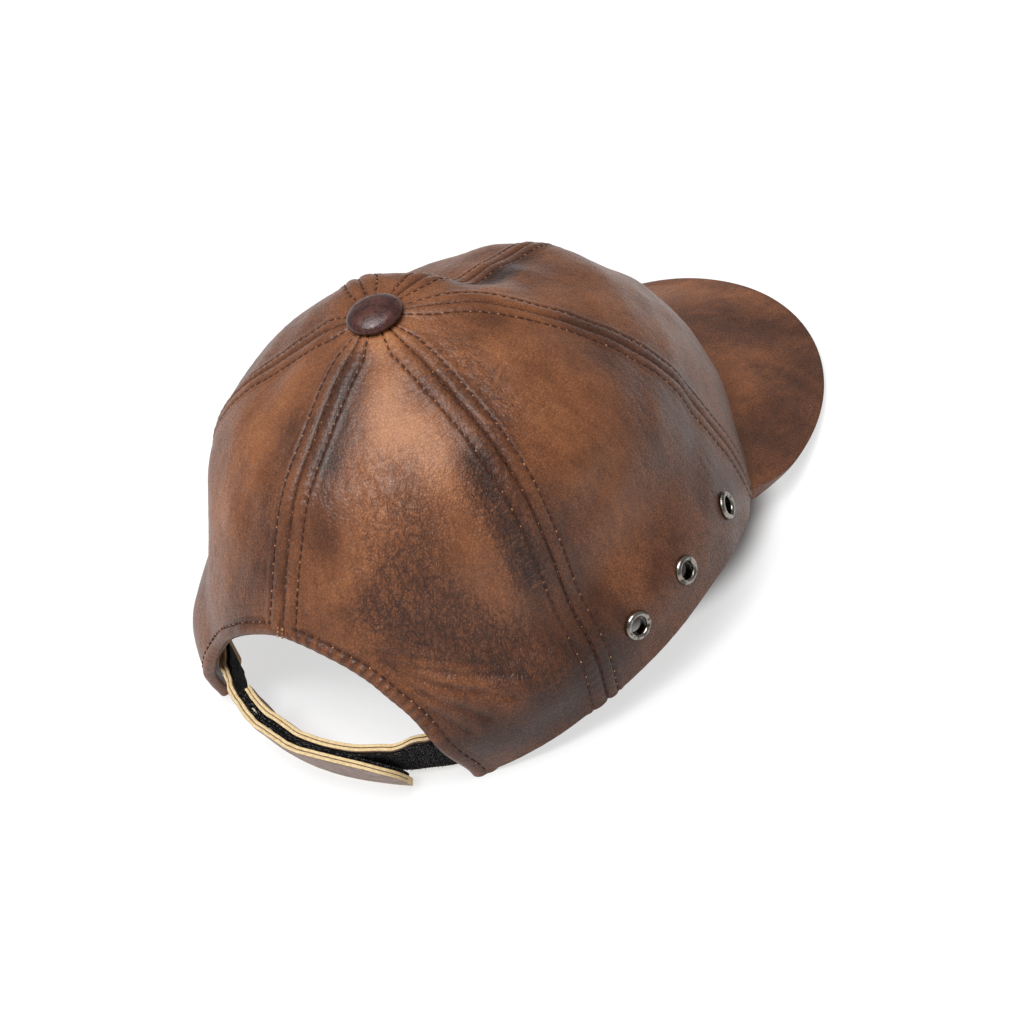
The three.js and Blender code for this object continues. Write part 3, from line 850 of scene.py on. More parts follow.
class Bench:
    """Blender's modelling tools, each on one piece at a time."""

    @staticmethod
    def pick(piece: bpy.types.Object) -> None:
        """Selects one piece alone and makes it active."""
        if bpy.context.mode != "OBJECT":
            bpy.ops.object.mode_set(mode="OBJECT")
        bpy.ops.object.select_all(action="DESELECT")
        piece.select_set(True)
        bpy.context.view_layer.objects.active = piece

    @classmethod
    def start(cls, name: str, add: Callable[..., Any], **sizes: Any) -> bpy.types.Object:
        """Adds a primitive at the origin.

        Args:
            name: The piece's name.
            add: The operator that adds it.
            sizes: The operator's values.

        Returns:
            The new object.
        """
        if bpy.context.mode != "OBJECT":
            bpy.ops.object.mode_set(mode="OBJECT")
        bpy.ops.object.select_all(action="DESELECT")
        add(location=(0, 0, 0), **sizes)
        piece = bpy.context.active_object
        piece.name = name
        piece.data.name = name
        return piece

    @classmethod
    def sheet(
        cls, name: str, columns: int, rows: int, place: Place, finishes: Sequence[int] | None = None
    ) -> bpy.types.Object:
        """A flat grid whose points are moved to their places.

        Args:
            name: The piece's name.
            columns: Faces along it.
            rows: Faces across it.
            place: Gives the points for column and row numbers.
            finishes: Number of the material of each row of faces.

        Returns:
            The sheet.
        """
        piece = cls.start(
            name, bpy.ops.mesh.primitive_grid_add, x_subdivisions=columns, y_subdivisions=rows, size=1.0
        )
        flat = cls.points(piece)
        column = np.rint((flat[:, 0] + 0.5) * columns).astype(int)
        row = np.rint((flat[:, 1] + 0.5) * rows).astype(int)
        if finishes is not None:
            for face in piece.data.polygons:
                face.material_index = finishes[min(row[i] for i in face.vertices)]
        cls.move(piece, place(column, row))
        return piece

    @staticmethod
    def points(piece: bpy.types.Object) -> np.ndarray:
        """A piece's points."""
        flat = np.empty(len(piece.data.vertices) * 3, np.float32)
        piece.data.vertices.foreach_get("co", flat)
        return flat.reshape(-1, 3).astype(float)

    @staticmethod
    def move(piece: bpy.types.Object, points: np.ndarray) -> None:
        """Moves a piece's points."""
        piece.data.vertices.foreach_set("co", points.astype(np.float32).ravel())
        piece.data.update()

    @classmethod
    def paint(cls, piece: bpy.types.Object, name: str, values: np.ndarray) -> None:
        """Paints a number on each point."""
        layer = piece.data.attributes.new(name, "FLOAT", "POINT")
        layer.data.foreach_set("value", values.astype(np.float32).ravel())

    @classmethod
    def paint_all(cls, piece: bpy.types.Object, painted: dict[str, np.ndarray]) -> None:
        """Paints numbers on each point, and its place in the flat leather under "hide"."""
        for name, values in painted.items():
            if name != "hide":
                cls.paint(piece, name, values)
        layer = piece.data.attributes.new("hide", "FLOAT_VECTOR", "POINT")
        layer.data.foreach_set("vector", painted["hide"].astype(np.float32).ravel())

    @classmethod
    def edit(cls, piece: bpy.types.Object, *steps: Callable[[], Any]) -> None:
        """Runs edit mode steps on all of a piece."""
        cls.pick(piece)
        bpy.ops.object.mode_set(mode="EDIT")
        bpy.ops.mesh.select_all(action="SELECT")
        for step in steps:
            step()
        bpy.ops.object.mode_set(mode="OBJECT")

    @classmethod
    def drop_faces(cls, piece: bpy.types.Object, unwanted: np.ndarray) -> None:
        """Deletes faces.

        Args:
            piece: The piece.
            unwanted: One true or false for each face.
        """
        cls.pick(piece)
        bpy.ops.object.mode_set(mode="EDIT")
        bpy.ops.mesh.select_mode(type="FACE")
        bpy.ops.mesh.select_all(action="DESELECT")
        bpy.ops.object.mode_set(mode="OBJECT")
        piece.data.polygons.foreach_set("select", unwanted)
        bpy.ops.object.mode_set(mode="EDIT")
        bpy.ops.mesh.delete(type="FACE")
        bpy.ops.mesh.select_mode(type="VERT")
        bpy.ops.object.mode_set(mode="OBJECT")

    @classmethod
    def modify(cls, piece: bpy.types.Object, kind: str, **settings: Any) -> None:
        """Adds a modifier and applies it.

        Args:
            piece: The piece.
            kind: The modifier's type.
            settings: Its values.
        """
        cls.pick(piece)
        modifier = piece.modifiers.new(kind.title(), kind)
        for name, value in settings.items():
            setattr(modifier, name, value)
        bpy.ops.object.modifier_apply(modifier=modifier.name)

    @classmethod
    def outward(cls, piece: bpy.types.Object) -> None:
        """Closes a shell's seams and points its faces outwards."""
        cls.edit(
            piece,
            lambda: bpy.ops.mesh.remove_doubles(threshold=1e-6),
            lambda: bpy.ops.mesh.normals_make_consistent(inside=False),
        )

    @classmethod
    def close_ends(cls, piece: bpy.types.Object) -> None:
        """Fills the open ends of a tube and points its faces outwards."""
        cls.edit(
            piece,
            lambda: bpy.ops.mesh.remove_doubles(threshold=1e-6),
            lambda: bpy.ops.mesh.fill_holes(sides=0),
            lambda: bpy.ops.mesh.normals_make_consistent(inside=False),
        )

    @classmethod
    def shade(cls, piece: bpy.types.Object, angle: float = 40.0) -> None:
        """Smooth shading with sharp edges past an angle."""
        cls.pick(piece)
        bpy.ops.object.shade_smooth_by_angle(angle=math.radians(angle))

    @classmethod
    def dress(
        cls, piece: bpy.types.Object, materials: Sequence[bpy.types.Material], slot: str, *nodes: str
    ) -> None:
        """Gives a piece its finish and its place in the frame.

        Args:
            piece: The piece.
            materials: Its materials.
            slot: Name of a material slot; not used.
            nodes: Nodes that it stands for.
        """
        finishes = np.zeros(len(piece.data.polygons), np.int32)
        piece.data.polygons.foreach_get("material_index", finishes)
        piece.data.materials.clear()
        for material in materials:
            piece.data.materials.append(material)
        piece.data.polygons.foreach_set("material_index", finishes)
        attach(piece, "root")
        if nodes:
            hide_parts(*nodes)
        log.info("%s: %d faces", piece.name, len(piece.data.polygons))


@dataclass(frozen=True)
class Stroke:
    """A stroke of paint or a crease between places on the crown."""

    turn: float
    along: float
    end_turn: float
    end_along: float
    width: float
    strength: float


class Stitches:
    """Rows of thread, each stitch a small capsule half sunk in the leather."""

    def __init__(
        self, length: float, width: float, height: float, sides: int = 8, rings: int = 6
    ) -> None:
        """Models one stitch.

        Args:
            length: Length of a stitch.
            width: Width of the thread.
            height: Height of the thread.
            sides: Faces round the thread.
            rings: Faces along it.
        """
        one = Bench.start(
            "stitch", bpy.ops.mesh.primitive_uv_sphere_add, segments=sides, ring_count=rings, radius=0.5
        )
        round_points = Bench.points(one)
        reach = np.sign(round_points[:, 2]) * np.abs(2 * round_points[:, 2]) ** 0.7 / 2
        self.shape = np.stack(
            [reach * length, round_points[:, 0] * width, round_points[:, 1] * height], -1
        )
        self.faces = [tuple(face.vertices) for face in one.data.polygons]
        Bench.pick(one)
        bpy.ops.object.delete()
        self.places: list[np.ndarray] = []

    def add(
        self, points: np.ndarray, normals: np.ndarray, ways: np.ndarray, sizes: np.ndarray | float = 1.0
    ) -> None:
        """Adds stitches.

        Args:
            points: Middles of the stitches.
            normals: Directions out of the leather.
            ways: Directions of the thread.
            sizes: Size of each, as a share.
        """
        side = np.cross(normals, ways)
        side /= np.linalg.norm(side, axis=1, keepdims=True)
        ways = np.cross(side, normals)
        axes = np.stack([ways, side, normals], 1)
        scaled = self.shape[None] * np.broadcast_to(sizes, (len(points),))[:, None, None]
        self.places.append(points[:, None] + np.einsum("nki,nij->nkj", scaled, axes))

    def build(self, name: str) -> bpy.types.Object:
        """Joins the stitches in one piece."""
        stitches = np.concatenate(self.places)
        count = len(self.shape)
        mesh = bpy.data.meshes.new(name)
        faces = [tuple(i + n * count for i in face) for n in range(len(stitches)) for face in self.faces]
        mesh.from_pydata(stitches.reshape(-1, 3).tolist(), [], faces)
        piece = bpy.data.objects.new(name, mesh)
        bpy.context.scene.collection.objects.link(piece)
        Bench.outward(piece)
        Bench.shade(piece, 180)
        return piece


class PanelKind(Enum):
    """The six panels, by the turn of their first seam."""

    BACK_RIGHT = 0
    SIDE_RIGHT = 60
    FRONT_RIGHT = 120
    FRONT_LEFT = 180
    SIDE_LEFT = 240
    BACK_LEFT = 300

    @property
    def label(self) -> str:
        """The panel's name in the frame."""
        where, side = self.name.lower().split("_")
        return f"panel_{where}_{side}"


# Rubbed lights are above zero; dark smudges, and painted shade in the dent in front of the button, are
# below it
SMUDGES_AND_SHADE = (
    Stroke(36, 0.93, 31, 0.74, 6 * MM, 0.5),
    Stroke(31, 0.74, 27, 0.56, 8 * MM, 0.38),
    Stroke(45, 0.7, 48, 0.36, 9 * MM, 0.5),
    Stroke(40, 0.8, 44, 0.62, 7 * MM, 0.32),
    Stroke(22, 0.67, 18, 0.5, 8 * MM, 0.3),
    Stroke(30, 0.29, 44, 0.15, 6 * MM, 0.32),
    Stroke(75, 0.64, 72, 0.5, 9 * MM, 0.25),
    Stroke(66, 0.86, 84, 0.76, 10 * MM, 0.4),
    Stroke(100, 0.62, 104, 0.7, 12 * MM, 0.2),
    Stroke(88, 0.5, 78, 0.28, 12 * MM, 0.18),
    Stroke(-43, 0.82, -24, 0.7, 9 * MM, 0.3),
    Stroke(-22, 0.66, -30, 0.4, 12 * MM, 0.3),
    Stroke(-5, 0.92, 58, 0.92, 5 * MM, 0.35),
    Stroke(150, 0.92, 215, 0.9, 7 * MM, 0.3),
    Stroke(128, 0.76, 136, 0.5, 10 * MM, 0.25),
    Stroke(188, 0.42, 176, 0.52, 8 * MM, 0.3),
    Stroke(10, 0.9, 9, 0.7, 5 * MM, -0.55),
    Stroke(9, 0.7, 11, 0.55, 5 * MM, -0.3),
    Stroke(51, 0.8, 53, 0.62, 5.0 * MM, -0.3),
    Stroke(53, 0.6, 54, 0.36, 5.5 * MM, -0.75),
    Stroke(55, 0.3, 58, 0.1, 7 * MM, -0.4),
    Stroke(32, 0.48, 36, 0.38, 12 * MM, -0.08),
    Stroke(22, 0.42, 34, 0.31, 7 * MM, -0.15),
    Stroke(34, 0.1, 54, 0.08, 11 * MM, -0.55),
    Stroke(106, 0.77, 88, 0.8, 6 * MM, -0.3),
    Stroke(110, 0.55, 113, 0.3, 9 * MM, -0.25),
    Stroke(94, 0.4, 106, 0.14, 14 * MM, -0.3),
    Stroke(67, 0.5, 64, 0.4, 8 * MM, -0.25),
    Stroke(64, 0.3, 64, 0.08, 8 * MM, -0.35),
    Stroke(123, 0.6, 124, 0.3, 6 * MM, -0.45),
    # Painted shade in the dent in front of the button
    Stroke(157, 0.8, 167, 0.68, 5 * MM, -0.8),
    Stroke(167, 0.68, 178, 0.44, 4 * MM, -0.6),
    Stroke(-14, 0.74, -6, 0.5, 6 * MM, -0.3),
    Stroke(-8, 0.46, -14, 0.34, 8 * MM, -0.35),
    Stroke(230, 0.5, 250, 0.3, 18 * MM, -0.4),
    Stroke(285, 0.5, 292, 0.3, 12 * MM, -0.3),
)

# Areas where the grain opens into dark fine creases
VEINED = (
    Stroke(28, 0.62, 32, 0.4, 13 * MM, 1.0),
    Stroke(24, 0.42, 46, 0.26, 10 * MM, 1.0),
    Stroke(52, 0.55, 54, 0.38, 8 * MM, 0.9),
    Stroke(74, 0.84, 68, 0.66, 9 * MM, 0.7),
    Stroke(44, 0.2, 56, 0.15, 8 * MM, 0.45),
    Stroke(290, 0.5, 300, 0.3, 12 * MM, 0.5),
    Stroke(330, 0.4, 322, 0.25, 12 * MM, 0.35),
)

# Areas with light scratches across the seam
SCRATCHED = (
    Stroke(51, 0.78, 54, 0.34, 8 * MM, 1.0),
    Stroke(64, 0.88, 80, 0.62, 10 * MM, 0.55),
)

# Creases that fan out from the right side of the arch, each bent once
CREASES = (
    (
        Stroke(20.5, 0.345, 33, 0.292, 1.0 * MM, -0.38 * MM),
        Stroke(33, 0.292, 44, 0.225, 1.2 * MM, -0.25 * MM),
    ),
    (
        Stroke(21, 0.328, 34, 0.262, 1.0 * MM, -0.45 * MM),
        Stroke(34, 0.262, 46, 0.19, 1.2 * MM, -0.3 * MM),
    ),
    (
        Stroke(22, 0.31, 33, 0.238, 1.0 * MM, -0.45 * MM),
        Stroke(33, 0.238, 43, 0.165, 1.2 * MM, -0.3 * MM),
    ),
    (
        Stroke(22.5, 0.293, 31, 0.217, 0.9 * MM, -0.4 * MM),
        Stroke(31, 0.217, 38, 0.15, 1.1 * MM, -0.3 * MM),
    ),
    (
        Stroke(23, 0.275, 28.5, 0.205, 0.9 * MM, -0.35 * MM),
        Stroke(28.5, 0.205, 34, 0.14, 1.1 * MM, -0.25 * MM),
    ),
)


@dataclass(frozen=True)
class SeamSizes:
    """Sizes across a sewn seam."""

    zone: float = 8 * MM
    limit: float = 0.45
    puff: float = 0.42 * MM
    groove: float = 0.6 * MM
    groove_width: float = 0.42 * MM
    dip: float = 0.38 * MM
    dip_width: float = 0.5 * MM
    step: float = 0.3 * MM
    pucker: float = 0.09 * MM
    pitch: float = 2.75 * MM
    row: float = 4.6 * MM
    wide_row: float = 5.0 * MM
    narrow_row: float = 3.8 * MM


@dataclass(frozen=True)
class ArchSizes:
    """Sizes of the opening at the back and its hem."""

    height: float = 50 * MM
    right: float = 46.3 * MM
    left: float = 50 * MM
    round_right: float = 2.0
    round_left: float = 1.7
    hem: float = 6.2 * MM
    row: float = 5.0 * MM
    pitch: float = 2.75 * MM
    edge: float = 1.3 * MM
    cut: float = 3.4 * MM


class Arch:
    """Outline of the opening at the back, as places on the crown."""

    def __init__(self, sizes: ArchSizes, crown: CrownForm) -> None:
        """Keeps the sizes and measures the opening's edge."""
        self.sizes = sizes
        self.crown = crown
        self.angles = np.linspace(0, 180, 1441)
        x, z = self.outline(self.angles, 0.0)
        self.runs = np.concatenate([[0], np.cumsum(np.hypot(np.diff(x), np.diff(z)))])
        self.length = float(self.runs[-1])

    def outline(self, angle: np.ndarray, grow: Any) -> tuple[np.ndarray, np.ndarray]:
        """The outline at angles from 0 at the right foot to 180 at the left foot.

        Args:
            angle: Angles in degrees.
            grow: Distance outside the opening's edge.

        Returns:
            Places across and heights.
        """
        s = self.sizes
        right = angle < 90
        half = np.where(right, s.right, s.left) + grow
        power = 2 / np.where(right, s.round_right, s.round_left)
        across = np.abs(np.cos(np.radians(angle))) ** power
        up = np.clip(np.sin(np.radians(angle)), 0, None) ** power
        return np.where(right, -1, 1) * half * across, (s.height + grow) * up

    def even(self, count: int) -> np.ndarray:
        """Angles of evenly spaced places along the edge."""
        return np.interp(np.linspace(0, self.length, count + 1), self.runs, self.angles)

    def spots(self, angle: np.ndarray, grow: Any) -> tuple[np.ndarray, np.ndarray]:
        """Places on the crown along the outline."""
        x, z = self.outline(angle, grow)
        return self.crown.solve(x, z)

    def inside(self, points: np.ndarray, grow: float) -> np.ndarray:
        """Which points lie in the opening grown by a distance."""
        s = self.sizes
        right = points[:, 0] < 0
        half = np.where(right, s.right, s.left) + grow
        power = np.where(right, s.round_right, s.round_left)
        across = np.abs(points[:, 0] / half) ** power
        up = np.clip(points[:, 2] / (s.height + grow), 0, None) ** power
        return (across + up < 1) & (points[:, 1] > self.crown.sizes.top_shift)


@dataclass
class Crown:
    """The six leather panels with their seams, hem and stitches."""

    form: CrownForm
    shift: np.ndarray
    seams: SeamSizes = field(default_factory=SeamSizes)
    arch_sizes: ArchSizes = field(default_factory=ArchSizes)
    band_columns: int = 18
    middle_columns: int = 74
    rows: int = 150
    close_middle_columns: int = 116
    close_rows: int = 205
    bevel: float = 0.55 * MM
    eyelets: tuple[tuple[float, float], ...] = ((69.5, 0.11), (83.5, 0.105), (103, 0.105))
    eyelet_cut: float = 3.7 * MM

    def __post_init__(self) -> None:
        """Prepares the arch."""
        self.arch = Arch(self.arch_sizes, self.form)

    def row_offset(self, turn: float, after: bool) -> float:
        """Distance of a stitch row from its seam.

        Args:
            turn: Turn of the seam.
            after: True for the row on the side of greater turn.

        Returns:
            The distance.
        """
        if round(turn) % 360 in (60, 300):
            towards_back = after == (round(turn) % 360 == 300)
            return self.seams.wide_row if towards_back else self.seams.narrow_row
        return self.seams.row

    def relief(self, distance: np.ndarray, row: float, run: np.ndarray, share: np.ndarray) -> np.ndarray:
        """Height of the leather beside a seam.

        Args:
            distance: Distances from the seam.
            row: Distance of its stitch row.
            run: Length along the seam.
            share: How much of the band has room.

        Returns:
            Heights over the crown's face.
        """
        s = self.seams
        welt = s.puff * bell(distance - 0.5 * row, 0.36 * row)
        groove = s.groove * bell(distance, s.groove_width)
        dip = s.dip * bell(distance - row, s.dip_width)
        ledge = s.step * (1 - fade(distance, row + 0.8 * MM, row + 2.6 * MM))
        pucker = s.pucker * np.cos(2 * np.pi * run / s.pitch) * (1 - fade(distance, row, row + 2.5 * MM))
        return (welt - groove - dip + ledge + pucker) * (0.35 + 0.65 * share)

    def seam_run(self, turn: float, along: np.ndarray) -> np.ndarray:
        """Length along a seam from the rim."""
        dense = np.linspace(0, 1, 241)
        points = self.form.base(np.full_like(dense, turn), dense)
        run = np.concatenate([[0], np.cumsum(np.linalg.norm(np.diff(points, axis=0), axis=1))])
        return np.interp(along, dense, run)

    def turn_at(self, first: float, along: np.ndarray, place: np.ndarray) -> np.ndarray:
        """Turn at a distance from a panel's first seam."""
        width = np.linalg.norm(
            self.form.base(first, along) - self.form.base(first + PANEL_TURN, along), axis=-1
        )
        return first + PANEL_TURN * place / width

    def strokes(self, points: np.ndarray, strokes: Sequence[Stroke]) -> np.ndarray:
        """Adds up soft strokes at points of the unfolded crown.

        Args:
            points: Points of the crown's base form.
            strokes: The strokes.

        Returns:
            One number for each point.
        """
        total = np.zeros(len(points))
        for s in strokes:
            start, end = self.form.base(s.turn, s.along), self.form.base(s.end_turn, s.end_along)
            total += s.strength * bell(to_segment(points, start, end), s.width)
        return total

    @staticmethod
    def unevenness(points: np.ndarray, veined: Any) -> np.ndarray:
        """Small waves of the leather, rougher where its grain is open."""
        waves = 0.22 * MM * ripples(points, 17 * MM, 3)
        return waves + (0.03 + 0.10 * veined) * MM * ripples(points * (1, 1, 0.6), 3.4 * MM, 5)

    def creases(self, points: np.ndarray) -> np.ndarray:
        """Height of the creases beside the arch."""
        total = np.zeros(len(points))
        depth = 1.9 + 0.5 * ripples(points, 9 * MM, 17)
        for crease in CREASES:
            total += np.minimum(*(self.strokes(points, (stroke,)) for stroke in crease))
        return total * depth

    def panel(self, kind: PanelKind, leather: bpy.types.Material, flesh: bpy.types.Material) -> None:
        """Builds one panel.

        Args:
            kind: Which panel.
            leather: Finish of its outer face.
            flesh: Finish of its inner face.
        """
        close = kind in (PanelKind.BACK_RIGHT,)
        middle = self.close_middle_columns if close else self.middle_columns
        rows = self.close_rows if close else self.rows
        columns = 2 * self.band_columns + middle
        first = float(kind.value)
        painted: dict[str, np.ndarray] = {}

        def place(column: np.ndarray, row: np.ndarray) -> np.ndarray:
            """Points of the panel's sheet, from its columns across and rows up."""
            along = self.form.panel_top * row / rows
            width = np.linalg.norm(
                self.form.base(first, along) - self.form.base(first + PANEL_TURN, along), axis=-1
            )
            s = self.seams
            share = np.minimum(1, s.limit * width / s.zone)
            near = np.minimum(column, columns - column)
            inner = width - 2 * s.zone * share
            across = np.where(
                near <= self.band_columns,
                s.zone * share * near / self.band_columns,
                s.zone * share + inner * (near - self.band_columns) / middle,
            )
            across = np.where(column <= columns / 2, across, width - across)
            turn = first + PANEL_TURN * across / width
            base = self.form.base(turn, along)
            left, right = across / share, (width - across) / share
            lift = self.relief(left, self.row_offset(first, True), self.seam_run(first, along), share)
            far = first + PANEL_TURN
            lift += self.relief(right, self.row_offset(far, False), self.seam_run(far, along), share)
            veined = np.clip(self.strokes(base, VEINED), 0, 1)
            lift += self.unevenness(base, veined) * share + self.creases(base)
            points, _ = self.form.surface(turn, along, lift)
            points[:, 2] = np.maximum(points[:, 2], 0.0)
            edge = np.minimum(left, right)
            painted["tone"] = self.strokes(base, SMUDGES_AND_SHADE)
            painted["vein"] = veined
            painted["scratch"] = np.clip(self.strokes(base, SCRATCHED), 0, 1)
            painted["seam"] = bell(edge, 1.2 * MM) + 0.5 * bell(edge - s.row, 0.9 * MM)
            # Painted shade: the panels are darker towards the rim
            painted["tone"] -= 0.32 * (1 - fade(along, 0.0, 0.34))
            # Painted shade in the creases beside the arch
            painted["tone"] += 450 * self.creases(base)
            run = self.seam_run(first, along)
            painted["hide"] = np.stack([across - width / 2, run, first * MM + 0 * along], -1)
            return points + self.shift

        piece = Bench.sheet(f"leather_{kind.label}", columns, rows, place)
        Bench.paint_all(piece, painted)
        self.open_holes(piece, kind)
        Bench.edit(piece, lambda: bpy.ops.mesh.normals_make_consistent(inside=False))
        self.face_out(piece)
        Bench.modify(
            piece, "SOLIDIFY", thickness=self.form.sizes.leather, offset=-1.0,
            material_offset=1, material_offset_rim=0, use_quality_normals=True,
        )
        piece.data.materials.append(leather)
        piece.data.materials.append(flesh)
        Bench.modify(
            piece, "BEVEL", width=self.bevel, segments=2, limit_method="ANGLE",
            angle_limit=math.radians(50),
        )
        Bench.shade(piece, 60)
        Bench.dress(piece, (leather, flesh), "leather", kind.label)

    def open_holes(self, piece: bpy.types.Object, kind: PanelKind) -> None:
        """Cuts the arch and the eyelet holes out of a panel's sheet."""
        points = Bench.points(piece) - self.shift
        middles = np.array([points[list(face.vertices)].mean(axis=0) for face in piece.data.polygons])
        unwanted = np.zeros(len(middles), bool)
        if kind in (PanelKind.BACK_RIGHT, PanelKind.BACK_LEFT):
            unwanted |= self.arch.inside(middles, self.arch_sizes.cut)
        if kind in (PanelKind.SIDE_RIGHT, PanelKind.SIDE_LEFT):
            for spot in self.eyelet_spots(kind):
                unwanted |= np.linalg.norm(middles - spot, axis=1) < self.eyelet_cut
        if unwanted.any():
            Bench.drop_faces(piece, unwanted)

    def eyelet_spots(self, kind: PanelKind) -> list[np.ndarray]:
        """Middles of the eyelets of a side panel."""
        side = 1 if kind is PanelKind.SIDE_RIGHT else -1
        return [self.form.surface(side * turn, along)[0] for turn, along in self.eyelets]

    def face_out(self, piece: bpy.types.Object) -> None:
        """Turns a sheet's faces away from the crown's middle."""
        middle = Vector(self.shift) + Vector((0, self.form.sizes.top_shift, self.form.sizes.height / 3))
        faces = piece.data.polygons
        inward = sum((face.center - middle).dot(face.normal) < 0 for face in faces)
        if inward > len(faces) / 2:
            Bench.edit(piece, lambda: bpy.ops.mesh.flip_normals())

    def hem(self, leather: bpy.types.Material) -> None:
        """Builds the folded band round the arch."""
        s = self.arch_sizes
        steps = 230
        angle = self.arch.even(steps)
        inside = -self.form.sizes.leather - 1.2 * MM
        profile = (
            (s.hem + 1.6 * MM, -1.1 * MM), (s.hem + 0.8 * MM, -0.45 * MM), (s.hem, 0.05 * MM),
            (s.row + 0.35 * MM, 0.16 * MM), (s.row, 0.1 * MM), (s.row - 0.5 * MM, 0.35 * MM),
            (s.row - 1.1 * MM, 0.66 * MM), (s.row - 1.8 * MM, 0.82 * MM),
            (s.edge + 1.3 * MM, 0.75 * MM), (s.edge + 0.75 * MM, 0.5 * MM),
            (s.edge + 0.3 * MM, 0.1 * MM), (s.edge + 0.05 * MM, -0.6 * MM), (s.edge, -1.3 * MM),
            (s.edge + 0.15 * MM, -2.0 * MM), (s.edge + 0.5 * MM, inside + 0.3 * MM),
            (s.edge + 0.9 * MM, inside), (3.0 * MM, inside), (5.0 * MM, inside), (s.hem, inside),
            (s.hem + 0.3 * MM, inside + 0.8 * MM),
        )
        grows = np.array([p[0] for p in profile])
        rises = np.array([p[1] for p in profile])
        painted: dict[str, np.ndarray] = {}

        def place(column: np.ndarray, row: np.ndarray) -> np.ndarray:
            """Points of the hem, from its columns along the arch and rows round the fold."""
            row = row % len(profile)
            turn, along = self.arch.spots(angle[column], grows[row])
            base = self.form.base(turn, along)
            run = column / steps
            puckered = fade(run, 0.12, 0.2) * (1 - fade(run, 0.47, 0.53))
            outer = (rises[row] > -1.0 * MM) * bell(grows[row] - 3.4 * MM, 2.0 * MM)
            wave = np.sin(2 * np.pi * run * self.arch.length / (3.1 * MM) + 2.2 * np.sin(23 * run))
            lift = rises[row] + outer * puckered * 0.30 * MM * wave
            lift = lift + outer * 0.16 * MM * ripples(base, 9 * MM, 11)
            points, _ = self.form.surface(turn, along, lift)
            points[:, 2] = np.maximum(points[:, 2], 0.0)
            # The hem is a little darker overall, with painted light and shade that follow its puckers
            painted["tone"] = self.strokes(base, SMUDGES_AND_SHADE) - 0.12 - 0.25 * puckered * outer * wave
            painted["seam"] = bell(grows[row] - s.row, 0.7 * MM)
            spread = grows[row] - rises[row]
            painted["hide"] = np.stack([run * self.arch.length, spread, 0.4 + 0 * run], -1)
            return points + self.shift

        piece = Bench.sheet("hem_arch", steps, len(profile), place)
        Bench.paint_all(piece, painted)
        Bench.close_ends(piece)
        Bench.shade(piece, 70)
        Bench.dress(piece, (leather,), "leather")

    def stitching(self, light: bpy.types.Material, dark: bpy.types.Material) -> None:
        """Sews the rows beside the seams, the seams themselves and the hem."""
        s = self.seams
        rows = Stitches(2.3 * MM, 0.72 * MM, 0.6 * MM)
        joins = Stitches(2.35 * MM, 0.85 * MM, 0.7 * MM)
        knots = Stitches(0.62 * MM, 0.5 * MM, 0.55 * MM)
        for seam in range(PANELS):
            turn = seam * PANEL_TURN
            start = 0.0
            if seam == 0:
                start = float(self.arch.spots(np.array([90.0]), self.arch_sizes.hem - 0.5 * MM)[1][0])
            length = float(self.seam_run(turn, np.array(1.0)))
            dense = np.linspace(0, 1, 241)
            low = float(self.seam_run(turn, np.array(start)))
            spots = np.arange(low + 1.5 * MM, length - 7 * MM, s.pitch)
            along = np.interp(spots, self.seam_run(turn, dense), dense)
            between = np.interp(spots + s.pitch / 2, self.seam_run(turn, dense), dense)
            chance = np.random.default_rng(seam + 5)
            self.row_of(joins, turn, along, 0.0, -0.22 * MM)
            self.row_of(knots, turn, between[chance.random(len(between)) < 0.3], 0.0, -0.25 * MM)
            for after in (False, True):
                offset = self.row_offset(turn, after) * (1 if after else -1)
                self.row_of(rows, turn, along, offset, s.step - s.dip + 0.14 * MM)
                chosen = between[chance.random(len(between)) < 0.45]
                self.row_of(knots, turn, chosen, offset, s.step - s.dip + 0.12 * MM)
        self.hem_row(rows, knots)
        Bench.dress(rows.build("stitches_rows"), (dark,), "leather")
        Bench.dress(joins.build("stitches_seams"), (dark,), "leather")
        Bench.dress(knots.build("stitch_knots"), (light,), "leather")

    def row_of(
        self, stitches: Stitches, turn: float, along: np.ndarray, offset: float, lift: float
    ) -> None:
        """Adds one row beside a seam.

        Args:
            stitches: Where the stitches are added.
            turn: Turn of the seam.
            along: Shares of the way up of the stitches.
            offset: Distance from the seam, above zero towards greater turn.
            lift: Height over the crown's face.
        """
        first = turn if offset >= 0 else turn - PANEL_TURN
        width = np.linalg.norm(
            self.form.base(first, along) - self.form.base(first + PANEL_TURN, along), axis=-1
        )
        share = np.minimum(1, self.seams.limit * width / self.seams.zone)
        turns = turn + PANEL_TURN * offset * share / width
        base = self.form.base(turns, along)
        rise = self.unevenness(base, np.clip(self.strokes(base, VEINED), 0, 1)) * share
        points, normals = self.form.surface(turns, along, lift * (0.35 + 0.65 * share) + rise)
        ahead = self.form.surface(turns, along + 0.004)[0] - self.form.surface(turns, along - 0.004)[0]
        chance = np.random.default_rng(int(turn * 7 + abs(offset) * 1e5 + 1000 * (offset < 0)))
        sizes = chance.uniform(0.88, 1.08, len(along)) * (0.6 + 0.4 * share)
        slant = np.cross(normals, ahead) * chance.uniform(-0.12, 0.12, (len(along), 1))
        stitches.add(points + self.shift, normals, ahead + slant, sizes)

